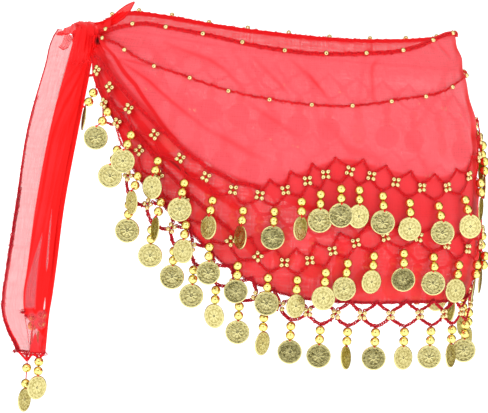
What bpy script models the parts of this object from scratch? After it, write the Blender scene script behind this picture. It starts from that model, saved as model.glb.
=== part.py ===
"""Hip scarf for belly dance, tied at one hip and hollow inside, as when it is worn.

A sheer chiffon wrap goes round an absent figure. Three crocheted net rows with bead and
coin drops run round it, two on the cloth and one below its hem. Both ends of the scarf
leave a knot at one hip: a long folded tail that hangs, and a short ear.

The script works in metres, +Z up. Its tables hold millimetres and degrees. Angles run
round the figure: 0 at the knotted hip (-X), 90 at the front centre (-Y), 180 at the other
hip (+X) and 270 at the back centre (+Y). The origin is the centre of the waist ring.
"""

import bisect
import math
from collections import namedtuple

import bmesh
import bpy
import numpy as np
from mathutils import Vector

MM = 0.001
NAME = "hip_scarf"

# Driving dimensions, in millimetres
CLOTH_THICKNESS = 1.0
SEAM_GAP = 0.4
COIN_RADIUS = 10.4
COIN_THICKNESS = 1.0
BEAD_HALF_WIDTH = 3.5
BEAD_STEP = 7.8
BEAD_TO_COIN = 14.0
FLOWER_HALF_WIDTH = 4.4
FLOWER_PITCH = 24.0
PEAK_ABOVE_FLOWER = 12.0
APEX_BELOW_FLOWER = 9.4
APEX_TO_BEAD = 5.1
CHAIN_HALF_WIDTH = 1.1
NET_THICKNESS = 1.5
NET_GAP = 0.5
TOP_CHAIN_RADIUS = 1.1
BEAD_LINE_RADIUS = 0.8

# Where the cloth starts and ends by the knot, and where its front and back stretches part
CLOTH_START = 8.5
CLOTH_SPLIT = 182.0
CLOTH_END = 351.5

# The ring that the worn cloth follows: half its width and half its depth at each height
Girth = namedtuple("Girth", "height half_width half_depth")
GIRTHS = (
    Girth(-300, 172, 112),
    Girth(-230, 175, 115),
    Girth(-210, 176, 116),
    Girth(-195, 178, 118),
    Girth(-176, 181.5, 119.5),
    Girth(-146, 181, 120),
    Girth(-111, 177, 117),
    Girth(-60, 172, 112),
    Girth(-37, 165.5, 108.5),
    Girth(-24, 161, 106),
    Girth(-9, 157, 103),
    Girth(16, 148, 100),
    Girth(40, 142, 97),
)

# Heights round the scarf of its top edge, its sewn bead line, its flowers and its hem
Station = namedtuple("Station", "angle top bead_line row_1 row_2 hem")
STATIONS = (
    Station(4, -1, -5, -22, -27, -25),
    Station(12, 0.5, -6, -24.5, -31, -27),
    Station(20, 2, -7.5, -29.5, -40, -40),
    Station(30, 7, -10, -39.5, -54, -56.5),
    Station(40, 11, -18, -53.5, -72.5, -78),
    Station(50, 10, -24.5, -70, -94, -115),
    Station(60, 8.3, -29.5, -90, -118.5, -139),
    Station(70, 5.6, -36, -109, -141, -162),
    Station(80, 1.8, -41.5, -122, -164, -187),
    Station(90, -0.9, -44.6, -124, -178, -202),
    Station(100, -2.2, -46.5, -110, -178.5, -209.5),
    Station(110, -1.2, -46, -100, -164.5, -211),
    Station(120, 0.8, -42.5, -104, -155, -211),
    Station(130, 3.3, -37.5, -109.5, -152.5, -210),
    Station(140, 8, -34.5, -112, -155, -209),
    Station(150, 14, -30, -109.5, -161, -208.5),
    Station(160, 18, -23.5, -102, -163, -207.5),
    Station(170, 18.5, -19, -89.5, -161, -205),
    Station(180, 16.5, -17, -72, -154.5, -199),
    Station(190, 15, -17, -60, -140, -190),
    Station(210, 9, -18, -50, -115, -172),
    Station(230, 3.2, -19, -47, -106, -165),
    Station(250, -0.2, -20, -45, -101, -158),
    Station(270, 0.6, -18, -41, -90, -140),
    Station(290, 4.2, -14, -34, -72, -112),
    Station(310, 10, -8, -26, -52, -82),
    Station(330, 12.4, -5, -19, -35, -54),
    Station(348, 5, -4, -15, -24, -30),
    Station(356, 0, -4, -13, -20, -25),
)

# Troughs pulled into the cloth, each a straight line in angle and height
Fold = namedtuple("Fold", "from_angle from_height to_angle to_height width depth")
FOLDS = (
    Fold(33, -23, 71, -73, 8, 2.4),
    Fold(52, -5, 80, -38, 7, 2.0),
    Fold(82, -10, 93, -39, 7, 1.6),
    Fold(93, -10, 104, -38, 7, 1.8),
    Fold(81, -46, 97, -73, 9, 1.8),
    Fold(122, -4, 119, -40, 8, 2.2),
    Fold(56, -94, 82, -138, 9, 2.6),
    Fold(152, 10, 160, -2, 7, 1.6),
    Fold(151, -24, 148, -48, 8, 1.4),
    Fold(168, -40, 171, -120, 10, 2.2),
    Fold(200, -8, 226, -72, 9, 2.4),
    Fold(236, -14, 248, -84, 9, 1.8),
    Fold(262, -18, 256, -92, 10, 2.2),
    Fold(286, -12, 270, -70, 9, 2.0),
    Fold(318, -12, 294, -50, 9, 2.4),
)

# Pleats that fan out of the knot, deepest beside it
PLEAT_DEPTH = 1.8
PLEAT_WAVES = 3
PLEAT_REACH = 46.0

# One bead and coin drop, section by section below the net. Turn and swing say how much of
# the coin's turn and of its distance from the cloth each section has.
Section = namedtuple("Section", "below half_width half_depth turn swing")
SECOND_BEAD = APEX_TO_BEAD + BEAD_STEP
COIN_CENTRE = SECOND_BEAD + BEAD_TO_COIN
COIN_SHOULDER = COIN_RADIUS * math.sin(math.radians(22.5))
COIN_SIDE = COIN_RADIUS * math.cos(math.radians(22.5))
COIN_NECK = 2.5
HALF_COIN = COIN_THICKNESS / 2
SECOND_BEAD_SWING = 0.45
DROP_SECTIONS = (
    Section(APEX_TO_BEAD, BEAD_HALF_WIDTH, BEAD_HALF_WIDTH, 0, 0),
    Section(APEX_TO_BEAD + BEAD_STEP / 2, 1.6, 1.6, 0.3, 0.2),
    Section(SECOND_BEAD, BEAD_HALF_WIDTH, BEAD_HALF_WIDTH, 0.6, SECOND_BEAD_SWING),
    Section(COIN_CENTRE - COIN_RADIUS, COIN_NECK, HALF_COIN, 1, 0.75),
    Section(COIN_CENTRE - COIN_SHOULDER, COIN_SIDE, HALF_COIN, 1, 1),
    Section(COIN_CENTRE + COIN_SHOULDER, COIN_SIDE, HALF_COIN, 1, 1),
    Section(COIN_CENTRE + COIN_SIDE, COIN_SHOULDER, HALF_COIN, 1, 1),
)

# How far out of the cloth the beads' middles and a flat coin hang, up to each angle
Standoff = namedtuple("Standoff", "up_to_angle bead coin")

# A net row. Its flowers follow a station column, lowered by below. A turn is how far each
# coin turns from facing the front. The row's first plain_cells cells carry no drop.
Row = namedtuple("Row", "name column below lift plain_cells flowers turns end standoffs")
ROWS = (
    Row(
        name="row_1",
        column="row_1",
        below=0,
        lift=2.1,
        plain_cells=1,
        flowers=(18, 24.8, 34.9, 45.3, 55.8, 64.5, 72.4, 80.2, 87.4, 94.2, 100)
        + (105, 111.9, 118.3, 126.2, 135.6, 146.9, 160.4, 171.8, 180),
        turns=(80, 0, 0, 35, 0, 50, 60, 0, 55, 0, 0, 30, 0, 15, 0, 20, 75, 90),
        end=316,
        standoffs=(
            Standoff(32, 4.9, 3.8),
            Standoff(82, 6.8, 11.2),
            Standoff(272, 4.9, 3.8),
            Standoff(360, 6.8, 11.2),
        ),
    ),
    Row(
        name="row_2",
        column="row_2",
        below=0,
        lift=0,
        plain_cells=1,
        flowers=(33.6, 41.3, 50.9, 58.4, 66.9, 73.8, 80.6, 88.1, 95.2, 101.9)
        + (107.8, 114.3, 123.1, 134.3, 146.3, 158.4, 171, 183),
        turns=(0, 60, 70, 35, 0, 0, 0, 40, 15, 10, 35, 0, 0, 35, 85, 80),
        end=304,
        standoffs=(
            Standoff(98, 6.2, 6.8),
            Standoff(250, 4.9, 3.8),
            Standoff(360, 6.2, 6.8),
        ),
    ),
    Row(
        name="row_3",
        column="hem",
        below=10,
        lift=0,
        plain_cells=0,
        flowers=(48, 56, 64, 70, 76, 82, 88.5, 95, 102.8, 110.7, 118.8, 128.1)
        + (139.1, 150.8, 163, 176, 188),
        turns=(0, 0, 0, 0, 35, 0, 55, 0, 0, 65, 0, 40, 0, 65, 0, 60),
        end=292,
        standoffs=(Standoff(360, 1.3, 1.3),),
    ),
)
LIFT_ENDS = (72.0, 86.0)
TIGHT_PITCH = 21.5
STAGGER = 2.4
BACK_TURNS = (0, 18, -12, 30, 8, -22, 40)

# The knot, with its shoulder towards the tail
KNOT_CENTRE = Vector((-167.0, 0.0, -9.0))
KNOT_HALF_SIZE = Vector((18.5, 20.7, 13.0))
KNOT_BAND = Vector((0.86, 0.28, 0.42)).normalized()
KNOT_BAND_WIDTH = 0.26
KNOT_BAND_RISE = 0.05
KNOT_GROOVES = 7
KNOT_GROOVE_DEPTH = 0.05
KNOT_TWIST = 3.0

# The tail's edges and the line where its single sheer layer meets the folded layers
TailLevel = namedtuple("TailLevel", "height left fold right bend")
TAIL_LEVELS = (
    TailLevel(-290, -203, -193.5, -181, 3),
    TailLevel(-279, -206, -194.5, -180.5, 2.5),
    TailLevel(-262, -215, -197.5, -180, 1.8),
    TailLevel(-247, -220, -201, -179.5, 1),
    TailLevel(-232, -220.5, -202.5, -178, 0.3),
    TailLevel(-211, -219, -201, -176.5, -1),
    TailLevel(-151, -214, -197, -173, 1),
    TailLevel(-83, -208, -188.5, -165.3, -1.5),
    TailLevel(-30, -197, -178.5, -158.8, 0),
    TailLevel(-5, -188.6, -173, -156.5, 0),
)
TAIL_TOP = -5.0
TAIL_BOTTOM = -281.0
TAIL_LAYER_STEP = 4.4
TAIL_BACK = 5.0
TAIL_COLUMNS = 18
TAIL_ROWS = 11

# The ear: its middle line from the knot to its tip
EAR_START = Vector((-156.3, -5.5, 1.3))
EAR_TIP = Vector((-125.3, -14.0, 24.5))
EAR_START_WIDTH = 10.0
EAR_TIP_WIDTH = 2.4
EAR_FOLD_DEPTH = 3.0
EAR_BOW = 2.4
EAR_TAPER = 2.0

# Drops on the tail: the strip that they hang from, and each drop's place along it. A drop
# hangs longer by its thread, with its second bead and coin apart from its first bead.
TailTrim = namedtuple("TailTrim", "name depth height left right outwards drops")
TailDrop = namedtuple("TailDrop", "across turn bead_out coin_out longer apart")
STRIP_DEPTH = 1.6
STRIP_HEIGHT = 2.4
TAIL_TRIMS = (
    TailTrim(
        name="tail_drops",
        depth=-2.0,
        height=TAIL_BOTTOM - 0.6,
        left=-200,
        right=-182,
        outwards=Vector((0, -1, 0)),
        drops=(
            TailDrop(-195.5, -60, 0, 0, 5, 5.5),
            TailDrop(-185.6, -40, 0, 4.8, -1, 0),
        ),
    ),
    TailTrim(
        name="tail_inner_drops",
        depth=8.2,
        height=-244.0,
        left=-198,
        right=-181,
        outwards=Vector((0, 1, 0)),
        drops=(
            TailDrop(-193.5, 85, 3.2, 12, 0, 0),
            TailDrop(-185.8, 70, 3.2, 12, -3, 0),
        ),
    ),
)


class Profile:
    """A smooth curve through one column of a table, against another of its columns."""

    def __init__(self, table, across, column):
        self.across = [getattr(row, across) for row in table]
        self.values = [getattr(row, column) for row in table]
        self.slopes = list(np.gradient(self.values, self.across))

    def __call__(self, at):
        last = len(self.across) - 2
        i = min(max(bisect.bisect_right(self.across, at) - 1, 0), last)
        step = self.across[i + 1] - self.across[i]
        t = min(max((at - self.across[i]) / step, 0.0), 1.0)
        rest = 1 - t
        return (
            self.values[i] * (1 + 2 * t) * rest**2
            + self.slopes[i] * step * t * rest**2
            + self.values[i + 1] * (3 - 2 * t) * t**2
            - self.slopes[i + 1] * step * rest * t**2
        )


def profiles(table, across):
    """A Profile for each column of the table except the one it runs across."""
    columns = [column for column in table[0]._fields if column != across]
    return {column: Profile(table, across, column) for column in columns}


GIRTH = profiles(GIRTHS, "height")
LEVEL = profiles(STATIONS, "angle")
TAIL = profiles(TAIL_LEVELS, "height")


def ease(value, start, end):
    """0 before start, 1 after end, with a soft change between."""
    t = min(max((value - start) / (end - start), 0.0), 1.0)
    return t * t * (3 - 2 * t)


def ring_normal(angle, height):
    """The direction straight out of the cloth, level, at this angle and height."""
    turn = math.radians(angle)
    half_width = GIRTH["half_width"](height)
    half_depth = GIRTH["half_depth"](height)
    normal = Vector((-math.cos(turn) / half_width, -math.sin(turn) / half_depth, 0))
    return normal.normalized()


def ring_point(angle, height, out=0.0, girth_at=None):
    """A point this far out of the smooth ring. girth_at is the height whose girth it takes."""
    girth_at = height if girth_at is None else girth_at
    turn = math.radians(angle)
    x = -GIRTH["half_width"](girth_at) * math.cos(turn)
    y = -GIRTH["half_depth"](girth_at) * math.sin(turn)
    return Vector((x, y, height)) + ring_normal(angle, girth_at) * out


def arc_rate(angle, height):
    """Millimetres along the ring for each degree."""
    turn = math.radians(angle)
    across = GIRTH["half_width"](height) * math.sin(turn)
    away = GIRTH["half_depth"](height) * math.cos(turn)
    return math.hypot(across, away) * math.pi / 180


def fold_depth(angle, height):
    """How deep the troughs of the cloth are here."""
    deepest = 0.0
    for fold in FOLDS:
        if abs(angle - (fold.from_angle + fold.to_angle) / 2) > 60:
            continue
        rate = arc_rate(angle, height)
        start = Vector(((fold.from_angle - angle) * rate, fold.from_height - height))
        end = Vector(((fold.to_angle - angle) * rate, fold.to_height - height))
        along = end - start
        t = min(max(-start.dot(along) / along.length_squared, 0.0), 1.0)
        distance = (start + along * t).length
        deepest = max(deepest, fold.depth * math.exp(-((distance / fold.width) ** 2)))
    return deepest


def pleat_depth(angle, share):
    """How deep the pleats by the knot are, this share of the way from top edge to hem."""
    by_start = 1 - ease(angle, CLOTH_START, CLOTH_START + PLEAT_REACH)
    by_end = ease(angle, CLOTH_END - PLEAT_REACH, CLOTH_END)
    wave = 0.5 - 0.5 * math.cos(2 * math.pi * PLEAT_WAVES * share)
    return PLEAT_DEPTH * max(by_start, by_end) * wave


def new_object(name, bm, finish):
    """Makes an object in the scarf's collection from a bmesh in millimetres."""
    bm.normal_update()
    bmesh.ops.recalc_face_normals(bm, faces=bm.faces)
    bmesh.ops.scale(bm, vec=(MM, MM, MM), verts=bm.verts)
    mesh = bpy.data.meshes.new(name)
    bm.to_mesh(mesh)
    bm.free()
    mesh.shade_smooth()
    return link_object(name, mesh, finish)


def link_object(name, data, finish):
    """Links new data to the scene under this name, with a material of its own."""
    obj = bpy.data.objects.new(name, data)
    data.materials.append(material(name, finish))
    bpy.data.collections[NAME].objects.link(obj)
    return obj


Finish = namedtuple("Finish", "colour roughness metallic")
CHIFFON = Finish((0.90, 0.04, 0.05, 1), 0.55, 0)
CROCHET = Finish((0.50, 0.01, 0.02, 1), 0.80, 0)
GILT = Finish((0.83, 0.68, 0.30, 1), 0.25, 1)


def material(name, finish):
    """A material with this colour, roughness and metallic value."""
    made = bpy.data.materials.new(name)
    made.use_nodes = True
    shader = made.node_tree.nodes["Principled BSDF"]
    shader.inputs["Base Color"].default_value = finish.colour
    shader.inputs["Roughness"].default_value = finish.roughness
    shader.inputs["Metallic"].default_value = finish.metallic
    return made


def solidify(obj, thickness):
    """Gives an open surface this thickness, inwards from its outer face."""
    shell = obj.modifiers.new("wall", "SOLIDIFY")
    shell.thickness = thickness * MM
    shell.offset = -1


def shaped_grid(columns, rows, place):
    """A grid of quads whose points are moved by place(across, down), both from 0 to 1."""
    bm = bmesh.new()
    bmesh.ops.create_grid(bm, x_segments=columns, y_segments=rows, size=1)
    for vert in bm.verts:
        vert.co = place((vert.co.x + 1) / 2, (1 - vert.co.y) / 2)
    return bm


def face_outwards(obj, outwards):
    """Turns an open surface over where its middle face doesn't look the given way."""
    mesh = obj.data
    middle = mesh.polygons[len(mesh.polygons) // 2]
    if middle.normal.dot(outwards(middle.center)) < 0:
        mesh.flip_normals()


def cloth_wall(name, start, end, columns, rows):
    """One stretch of the wrap, from its top edge to its hem."""

    def place(across, down):
        angle = start + (end - start) * across
        top = LEVEL["top"](angle)
        height = top + (LEVEL["hem"](angle) - top) * down
        depth = fold_depth(angle, height) + pleat_depth(angle, down)
        return ring_point(angle, height, -depth)

    obj = new_object(name, shaped_grid(columns, rows, place), CHIFFON)
    face_outwards(obj, lambda centre: Vector((centre.x, centre.y, 0)))
    solidify(obj, CLOTH_THICKNESS)


def chain_tube(name, column, below, radius, start, end, points):
    """A crocheted cord along a line of the cloth, on its outer face."""
    curve = bpy.data.curves.new(name, "CURVE")
    curve.dimensions = "3D"
    curve.bevel_depth = radius * MM
    curve.bevel_resolution = 0
    curve.use_fill_caps = True
    spline = curve.splines.new("POLY")
    spline.points.add(points - 1)
    for i, point in enumerate(spline.points):
        angle = start + (end - start) * i / (points - 1)
        height = LEVEL[column](angle) - below
        centre = ring_point(angle, height, NET_GAP + radius) * MM
        point.co = (*centre, 1)
    link_object(name, curve, CROCHET)


def row_height(row, angle):
    """The height of the row's flowers at this angle."""
    return LEVEL[row.column](angle) - row.below


def across_row(row, angle, sideways, up):
    """Angle and height of a point that lies sideways along the row and up across it."""
    height = row_height(row, angle)
    rate = arc_rate(angle, height)
    rise = (row_height(row, angle + 1) - row_height(row, angle - 1)) / (2 * rate)
    run = 1 / math.hypot(1, rise)
    climb = rise * run
    return (
        angle + (sideways * run - up * climb) / rate,
        height + sideways * climb + up * run,
    )


def net_lift(row, angle):
    """How far the net's inner face is from the cloth. By the knot one row lies on another."""
    by_start = 1 - ease(angle, *LIFT_ENDS)
    by_end = ease(angle, 360 - LIFT_ENDS[1], 360 - LIFT_ENDS[0])
    return NET_GAP + row.lift * max(by_start, by_end)


def net_corner(bm, row, angle, sideways, up):
    """The outer and inner point of the net at one of its corners."""
    at, height = across_row(row, angle, sideways, up)
    lift = net_lift(row, at)
    outer = bm.verts.new(ring_point(at, height, lift + NET_THICKNESS))
    inner = bm.verts.new(ring_point(at, height, lift))
    return outer, inner


def net_plate(bm, *corners):
    """The outer and inner face between these corners."""
    bm.faces.new([outer for outer, _ in corners])
    bm.faces.new([inner for _, inner in reversed(corners)])


def net_edge(bm, first, second):
    """The narrow face along one edge of the net."""
    bm.faces.new((first[0], second[0], second[1], first[1]))


def flower(bm, row, angle, left, right):
    """A flower's corners, top, right, bottom and left. At a seam one side is left off."""
    half = FLOWER_HALF_WIDTH
    shift = SEAM_GAP / 2 * (right - left)
    top = net_corner(bm, row, angle, shift, half)
    bottom = net_corner(bm, row, angle, shift, -half)
    side_right = net_corner(bm, row, angle, half, 0) if right else None
    side_left = net_corner(bm, row, angle, -half, 0) if left else None
    net_plate(bm, *[c for c in (top, side_right, bottom, side_left) if c])
    if not (left and right):
        net_edge(bm, top, bottom)
    return top, side_right, bottom, side_left


def net_cell(bm, row, before, after, middle):
    """The chains between two flowers. It returns the lowest point's ring and its place."""
    before_top, before_right, before_bottom, _ = before
    after_top, _, after_bottom, after_left = after
    half = CHAIN_HALF_WIDTH
    peak_top = net_corner(bm, row, middle, 0, PEAK_ABOVE_FLOWER + half)
    peak_low = net_corner(bm, row, middle, 0, PEAK_ABOVE_FLOWER - half)
    apex_top = net_corner(bm, row, middle, 0, half - APEX_BELOW_FLOWER)
    apex_left = net_corner(bm, row, middle, -half, -half - APEX_BELOW_FLOWER)
    apex_right = net_corner(bm, row, middle, half, -half - APEX_BELOW_FLOWER)
    net_plate(bm, before_top, peak_top, peak_low, before_right)
    net_plate(bm, peak_top, after_top, after_left, peak_low)
    net_plate(bm, before_right, apex_top, apex_left, before_bottom)
    net_plate(bm, apex_top, after_left, after_bottom, apex_right)
    net_plate(bm, apex_top, apex_right, apex_left)
    outline = (
        (before_top, peak_top),
        (peak_top, after_top),
        (before_right, peak_low),
        (peak_low, after_left),
        (after_left, apex_top),
        (apex_top, before_right),
        (before_bottom, apex_left),
        (apex_right, after_bottom),
    )
    for first, second in outline:
        net_edge(bm, first, second)
    return (apex_left[0], apex_right[0], apex_right[1], apex_left[1])


def drop(bm, root, place, outwards, turn):
    """Lofts two beads and a coin down from the root's four points.

    place(below, swing) is the middle of a section, outwards the level direction away from
    the cloth, and turn the coin's turn away from lying flat on it, in degrees.
    """
    sideways = Vector((-outwards.y, outwards.x, 0))
    ring = root
    for section in DROP_SECTIONS:
        angle = math.radians(turn * section.turn)
        wide = sideways * math.cos(angle) + outwards * math.sin(angle)
        deep = outwards * math.cos(angle) - sideways * math.sin(angle)
        wide *= section.half_width
        deep *= section.half_depth
        centre = place(section.below, section.swing)
        corners = (deep - wide, deep + wide, wide - deep, -wide - deep)
        lower = [bm.verts.new(centre + corner) for corner in corners]
        for i in range(4):
            bm.faces.new((ring[i], ring[i - 1], lower[i - 1], lower[i]))
        ring = lower
    bm.faces.new(ring)


def facing(direction):
    """Degrees that a level direction is turned from the front, towards +X."""
    return math.degrees(math.atan2(direction.x, -direction.y))


def half_turned(degrees):
    """The same turn of a coin, brought between -90 and 90."""
    return (degrees + 90) % 180 - 90


def row_drop(bm, row, root, middle, turn, stagger):
    """One drop of a net row, turned from lying flat on the cloth."""
    angle, apex = across_row(row, middle, 0, -APEX_BELOW_FLOWER)
    standoff = next(s for s in row.standoffs if angle <= s.up_to_angle)
    hangs_free = row.column == "hem"
    reach = 0 if hangs_free else COIN_RADIUS * abs(math.sin(math.radians(turn)))
    bead_out = standoff.bead + stagger
    coin_out = max(standoff.coin + reach, bead_out if reach else 0) + stagger

    def place(below, swing):
        out = bead_out + (coin_out - bead_out) * swing
        return ring_point(angle, apex - below, out, apex if hangs_free else None)

    drop(bm, root, place, ring_normal(angle, apex), turn)


def net_row(row, suffix, flowers, turns):
    """One stretch of a net row. A turn of None leaves a cell without its drop."""
    bm = bmesh.new()
    last = len(flowers) - 1
    corners = [
        flower(bm, row, angle, left=i > 0, right=i < last)
        for i, angle in enumerate(flowers)
    ]
    for i, turn in enumerate(turns):
        middle = (flowers[i] + flowers[i + 1]) / 2
        root = net_cell(bm, row, corners[i], corners[i + 1], middle)
        if turn is None:
            bm.faces.new(root)
            continue
        pitch = (flowers[i + 1] - flowers[i]) * arc_rate(middle, row_height(row, middle))
        stagger = STAGGER if i % 2 and pitch < TIGHT_PITCH else 0
        row_drop(bm, row, root, middle, turn, stagger)
    new_object(f"{row.name}_{suffix}", bm, CROCHET)


def front_turns(row):
    """Each front coin's turn from lying flat, worked out from its turn from the front."""
    flat = []
    for i, turn in enumerate(row.turns):
        cell = i + row.plain_cells
        middle = (row.flowers[cell] + row.flowers[cell + 1]) / 2
        normal = facing(ring_normal(middle, row_height(row, middle)))
        side = -1 if middle < 90 else 1
        flat.append(half_turned(normal - side * turn))
    return [None] * row.plain_cells + flat


def back_flowers(row):
    """Flowers at an even pitch from the row's seam to its end behind the knotted hip."""
    angles = [row.flowers[-1]]
    while angles[-1] < row.end:
        height = row_height(row, angles[-1])
        rate = arc_rate(angles[-1], height)
        rise = (row_height(row, angles[-1] + 1) - height) / rate
        angles.append(angles[-1] + FLOWER_PITCH / (rate * math.hypot(1, rise)))
    return angles


def net_rows():
    """The three net rows, each in a front and a back stretch."""
    for row in ROWS:
        net_row(row, "front", row.flowers, front_turns(row))
        angles = back_flowers(row)
        count = len(angles) - 1
        turns = [BACK_TURNS[i % len(BACK_TURNS)] for i in range(count)]
        net_row(row, "back", angles, turns)


def knot():
    """The knot: rounded, grooved by its folds, with a band wound round it."""
    bm = bmesh.new()
    bmesh.ops.create_uvsphere(bm, u_segments=20, v_segments=12, radius=1)
    for vert in bm.verts:
        away = Vector((vert.co.x, vert.co.z, vert.co.y))
        band = math.exp(-((away.dot(KNOT_BAND) / KNOT_BAND_WIDTH) ** 2))
        round_axis = math.atan2(away.z, away.x)
        side = math.hypot(away.x, away.z)
        groove = math.cos(KNOT_GROOVES * round_axis + KNOT_TWIST * away.y) * side
        size = 1 + KNOT_BAND_RISE * (band - 1) * side
        size += KNOT_GROOVE_DEPTH * (groove - 1) * side * (1 - band) / 2
        vert.co = KNOT_CENTRE + away * KNOT_HALF_SIZE * size
    new_object("knot", bm, CHIFFON)


def knot_underside(x, y):
    """The height of the knot's smooth underside, or of its middle beyond its sides."""
    across = (x - KNOT_CENTRE.x) / KNOT_HALF_SIZE.x
    away = (y - KNOT_CENTRE.y) / KNOT_HALF_SIZE.y
    inside = max(1 - across**2 - away**2, 0.0)
    return KNOT_CENTRE.z - KNOT_HALF_SIZE.z * math.sqrt(inside)


def tail_section(share, left, fold, right):
    """A point along the tail's folded section: one wide layer, then two turned back on it."""
    step = TAIL_LAYER_STEP
    turn = step / 2
    back = (right - turn) - left
    middle = (right - turn) - (fold + turn)
    front = (right - step) - (fold + turn)
    bend = math.pi * turn
    distance = share * (back + middle + front + 2 * bend)
    if distance < back:
        return left + distance, 0.0
    distance -= back
    if distance < bend:
        swing = distance / turn
        return right - turn + turn * math.sin(swing), turn * (math.cos(swing) - 1)
    distance -= bend
    if distance < middle:
        return right - turn - distance, -step
    distance -= middle
    if distance < bend:
        swing = distance / turn
        return fold + turn - turn * math.sin(swing), turn * (math.cos(swing) - 1) - step
    return fold + turn + distance - bend, -2 * step


def tail():
    """The long end: it hangs from under the knot in three layers beside one sheer layer."""

    def place(across, down):
        level = TAIL_TOP + (TAIL_BOTTOM - TAIL_TOP) * down
        edges = [TAIL[column](level) for column in ("left", "fold", "right")]
        x, y = tail_section(across, *edges)
        y += TAIL_BACK + TAIL["bend"](level)
        top = knot_underside(x, y) - SEAM_GAP
        return Vector((x, y, top + (TAIL_BOTTOM - top) * down))

    bm = shaped_grid(TAIL_COLUMNS, TAIL_ROWS, place)
    solidify(new_object("tail_long", bm, CHIFFON), CLOTH_THICKNESS)


def ear():
    """The short end: a folded strip that stands up and away from the knot."""
    along = EAR_TIP - EAR_START
    across_way = Vector((-along.z, 0, along.x)).normalized()
    fold_way = along.cross(across_way).normalized()

    def place(across, down):
        width = EAR_START_WIDTH + (EAR_TIP_WIDTH - EAR_START_WIDTH) * down**EAR_TAPER
        side = across - 0.5
        fold = EAR_FOLD_DEPTH * (1 - down) * abs(side) * 2
        bow = EAR_BOW * math.sin(math.pi * down)
        middle = EAR_START + along * down
        return middle + across_way * (side * width - bow) + fold_way * fold

    solidify(new_object("tail_short", shaped_grid(4, 6, place), CHIFFON), CLOTH_THICKNESS)


def tail_trim(trim):
    """A narrow crocheted strip with its drops, on the tail."""
    bm = bmesh.new()
    half = CHAIN_HALF_WIDTH
    cuts = [trim.left]
    for hung in trim.drops:
        cuts += [hung.across - half, hung.across + half]
    cuts.append(trim.right)
    rings = []
    for x in cuts:
        corners = (
            (-STRIP_DEPTH / 2, 0),
            (STRIP_DEPTH / 2, 0),
            (STRIP_DEPTH / 2, -STRIP_HEIGHT),
            (-STRIP_DEPTH / 2, -STRIP_HEIGHT),
        )
        rings.append(
            [bm.verts.new((x, trim.depth + y, trim.height + z)) for y, z in corners]
        )
    roots = {}
    for i, (left, right) in enumerate(zip(rings, rings[1:])):
        for side in range(4):
            face = (left[side], left[side - 1], right[side - 1], right[side])
            if side == 3 and i % 2:
                root = [left[3], right[3], right[2], left[2]]
                roots[i // 2] = root if trim.outwards.y < 0 else root[2:] + root[:2]
            else:
                bm.faces.new(face)
    bm.faces.new(rings[0])
    bm.faces.new(rings[-1])
    for i, hung in enumerate(trim.drops):
        start = Vector((hung.across, trim.depth, trim.height - STRIP_HEIGHT))

        def place(below, swing, start=start, hung=hung):
            out = hung.bead_out + (hung.coin_out - hung.bead_out) * swing
            down = below + hung.longer + hung.apart * min(swing / SECOND_BEAD_SWING, 1)
            return start + trim.outwards * out - Vector((0, 0, down))

        drop(bm, roots[i], place, trim.outwards, hung.turn)
    new_object(trim.name, bm, CROCHET)


def clear_scene():
    """Removes the scene's objects and adds the scarf's collection."""
    for obj in list(bpy.data.objects):
        bpy.data.objects.remove(obj)
    bpy.context.scene.collection.children.link(bpy.data.collections.new(NAME))


def main():
    clear_scene()
    seam = SEAM_GAP / 2 / arc_rate(CLOTH_SPLIT, LEVEL["row_2"](CLOTH_SPLIT))
    cloth_wall("cloth_front", CLOTH_START, CLOTH_SPLIT - seam, columns=48, rows=12)
    cloth_wall("cloth_back", CLOTH_SPLIT + seam, CLOTH_END, columns=32, rows=8)
    front = (CLOTH_START + 1, CLOTH_SPLIT - seam)
    back = (CLOTH_SPLIT + seam, CLOTH_END - 1)
    chain_tube("top_chain_front", "top", TOP_CHAIN_RADIUS, TOP_CHAIN_RADIUS, *front, 34)
    chain_tube("top_chain_back", "top", TOP_CHAIN_RADIUS, TOP_CHAIN_RADIUS, *back, 30)
    chain_tube("bead_line_front", "bead_line", 0, BEAD_LINE_RADIUS, *front, 34)
    chain_tube("bead_line_back", "bead_line", 0, BEAD_LINE_RADIUS, *back, 30)
    net_rows()
    knot()
    tail()
    ear()
    for trim in TAIL_TRIMS:
        tail_trim(trim)


main()
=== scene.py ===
"""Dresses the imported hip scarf: sheer chiffon, crocheted nets, plated beads and coins.

The tables and functions repeat the part's own form, in millimetres and degrees, so each
piece here lies on its solid. Angles run round the figure from the knotted hip (-X) by the
front centre (-Y). Finer creases, stitches, relief and materials are added on that form.
"""

import logging
import math
from collections.abc import Callable
from dataclasses import dataclass, field
from enum import Enum

import bpy
import numpy as np
from mathutils import Matrix, Vector

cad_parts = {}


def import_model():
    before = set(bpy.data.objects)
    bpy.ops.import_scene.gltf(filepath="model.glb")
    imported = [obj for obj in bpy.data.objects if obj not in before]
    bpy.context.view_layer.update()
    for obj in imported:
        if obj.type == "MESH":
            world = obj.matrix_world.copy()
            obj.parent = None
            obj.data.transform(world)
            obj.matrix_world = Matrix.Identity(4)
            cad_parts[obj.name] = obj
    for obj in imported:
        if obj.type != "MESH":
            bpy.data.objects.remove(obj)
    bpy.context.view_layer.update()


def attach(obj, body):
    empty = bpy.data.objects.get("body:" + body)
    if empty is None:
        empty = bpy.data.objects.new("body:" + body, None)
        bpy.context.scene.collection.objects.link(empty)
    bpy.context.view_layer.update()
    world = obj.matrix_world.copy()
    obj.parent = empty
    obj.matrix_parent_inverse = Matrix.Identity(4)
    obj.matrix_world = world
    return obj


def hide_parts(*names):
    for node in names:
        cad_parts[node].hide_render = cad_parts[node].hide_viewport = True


LOG = logging.getLogger("hip_scarf")
MM = 0.001
SEED = 7
Number = float | np.ndarray
Place = Callable[[float, float], np.ndarray]

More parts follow.
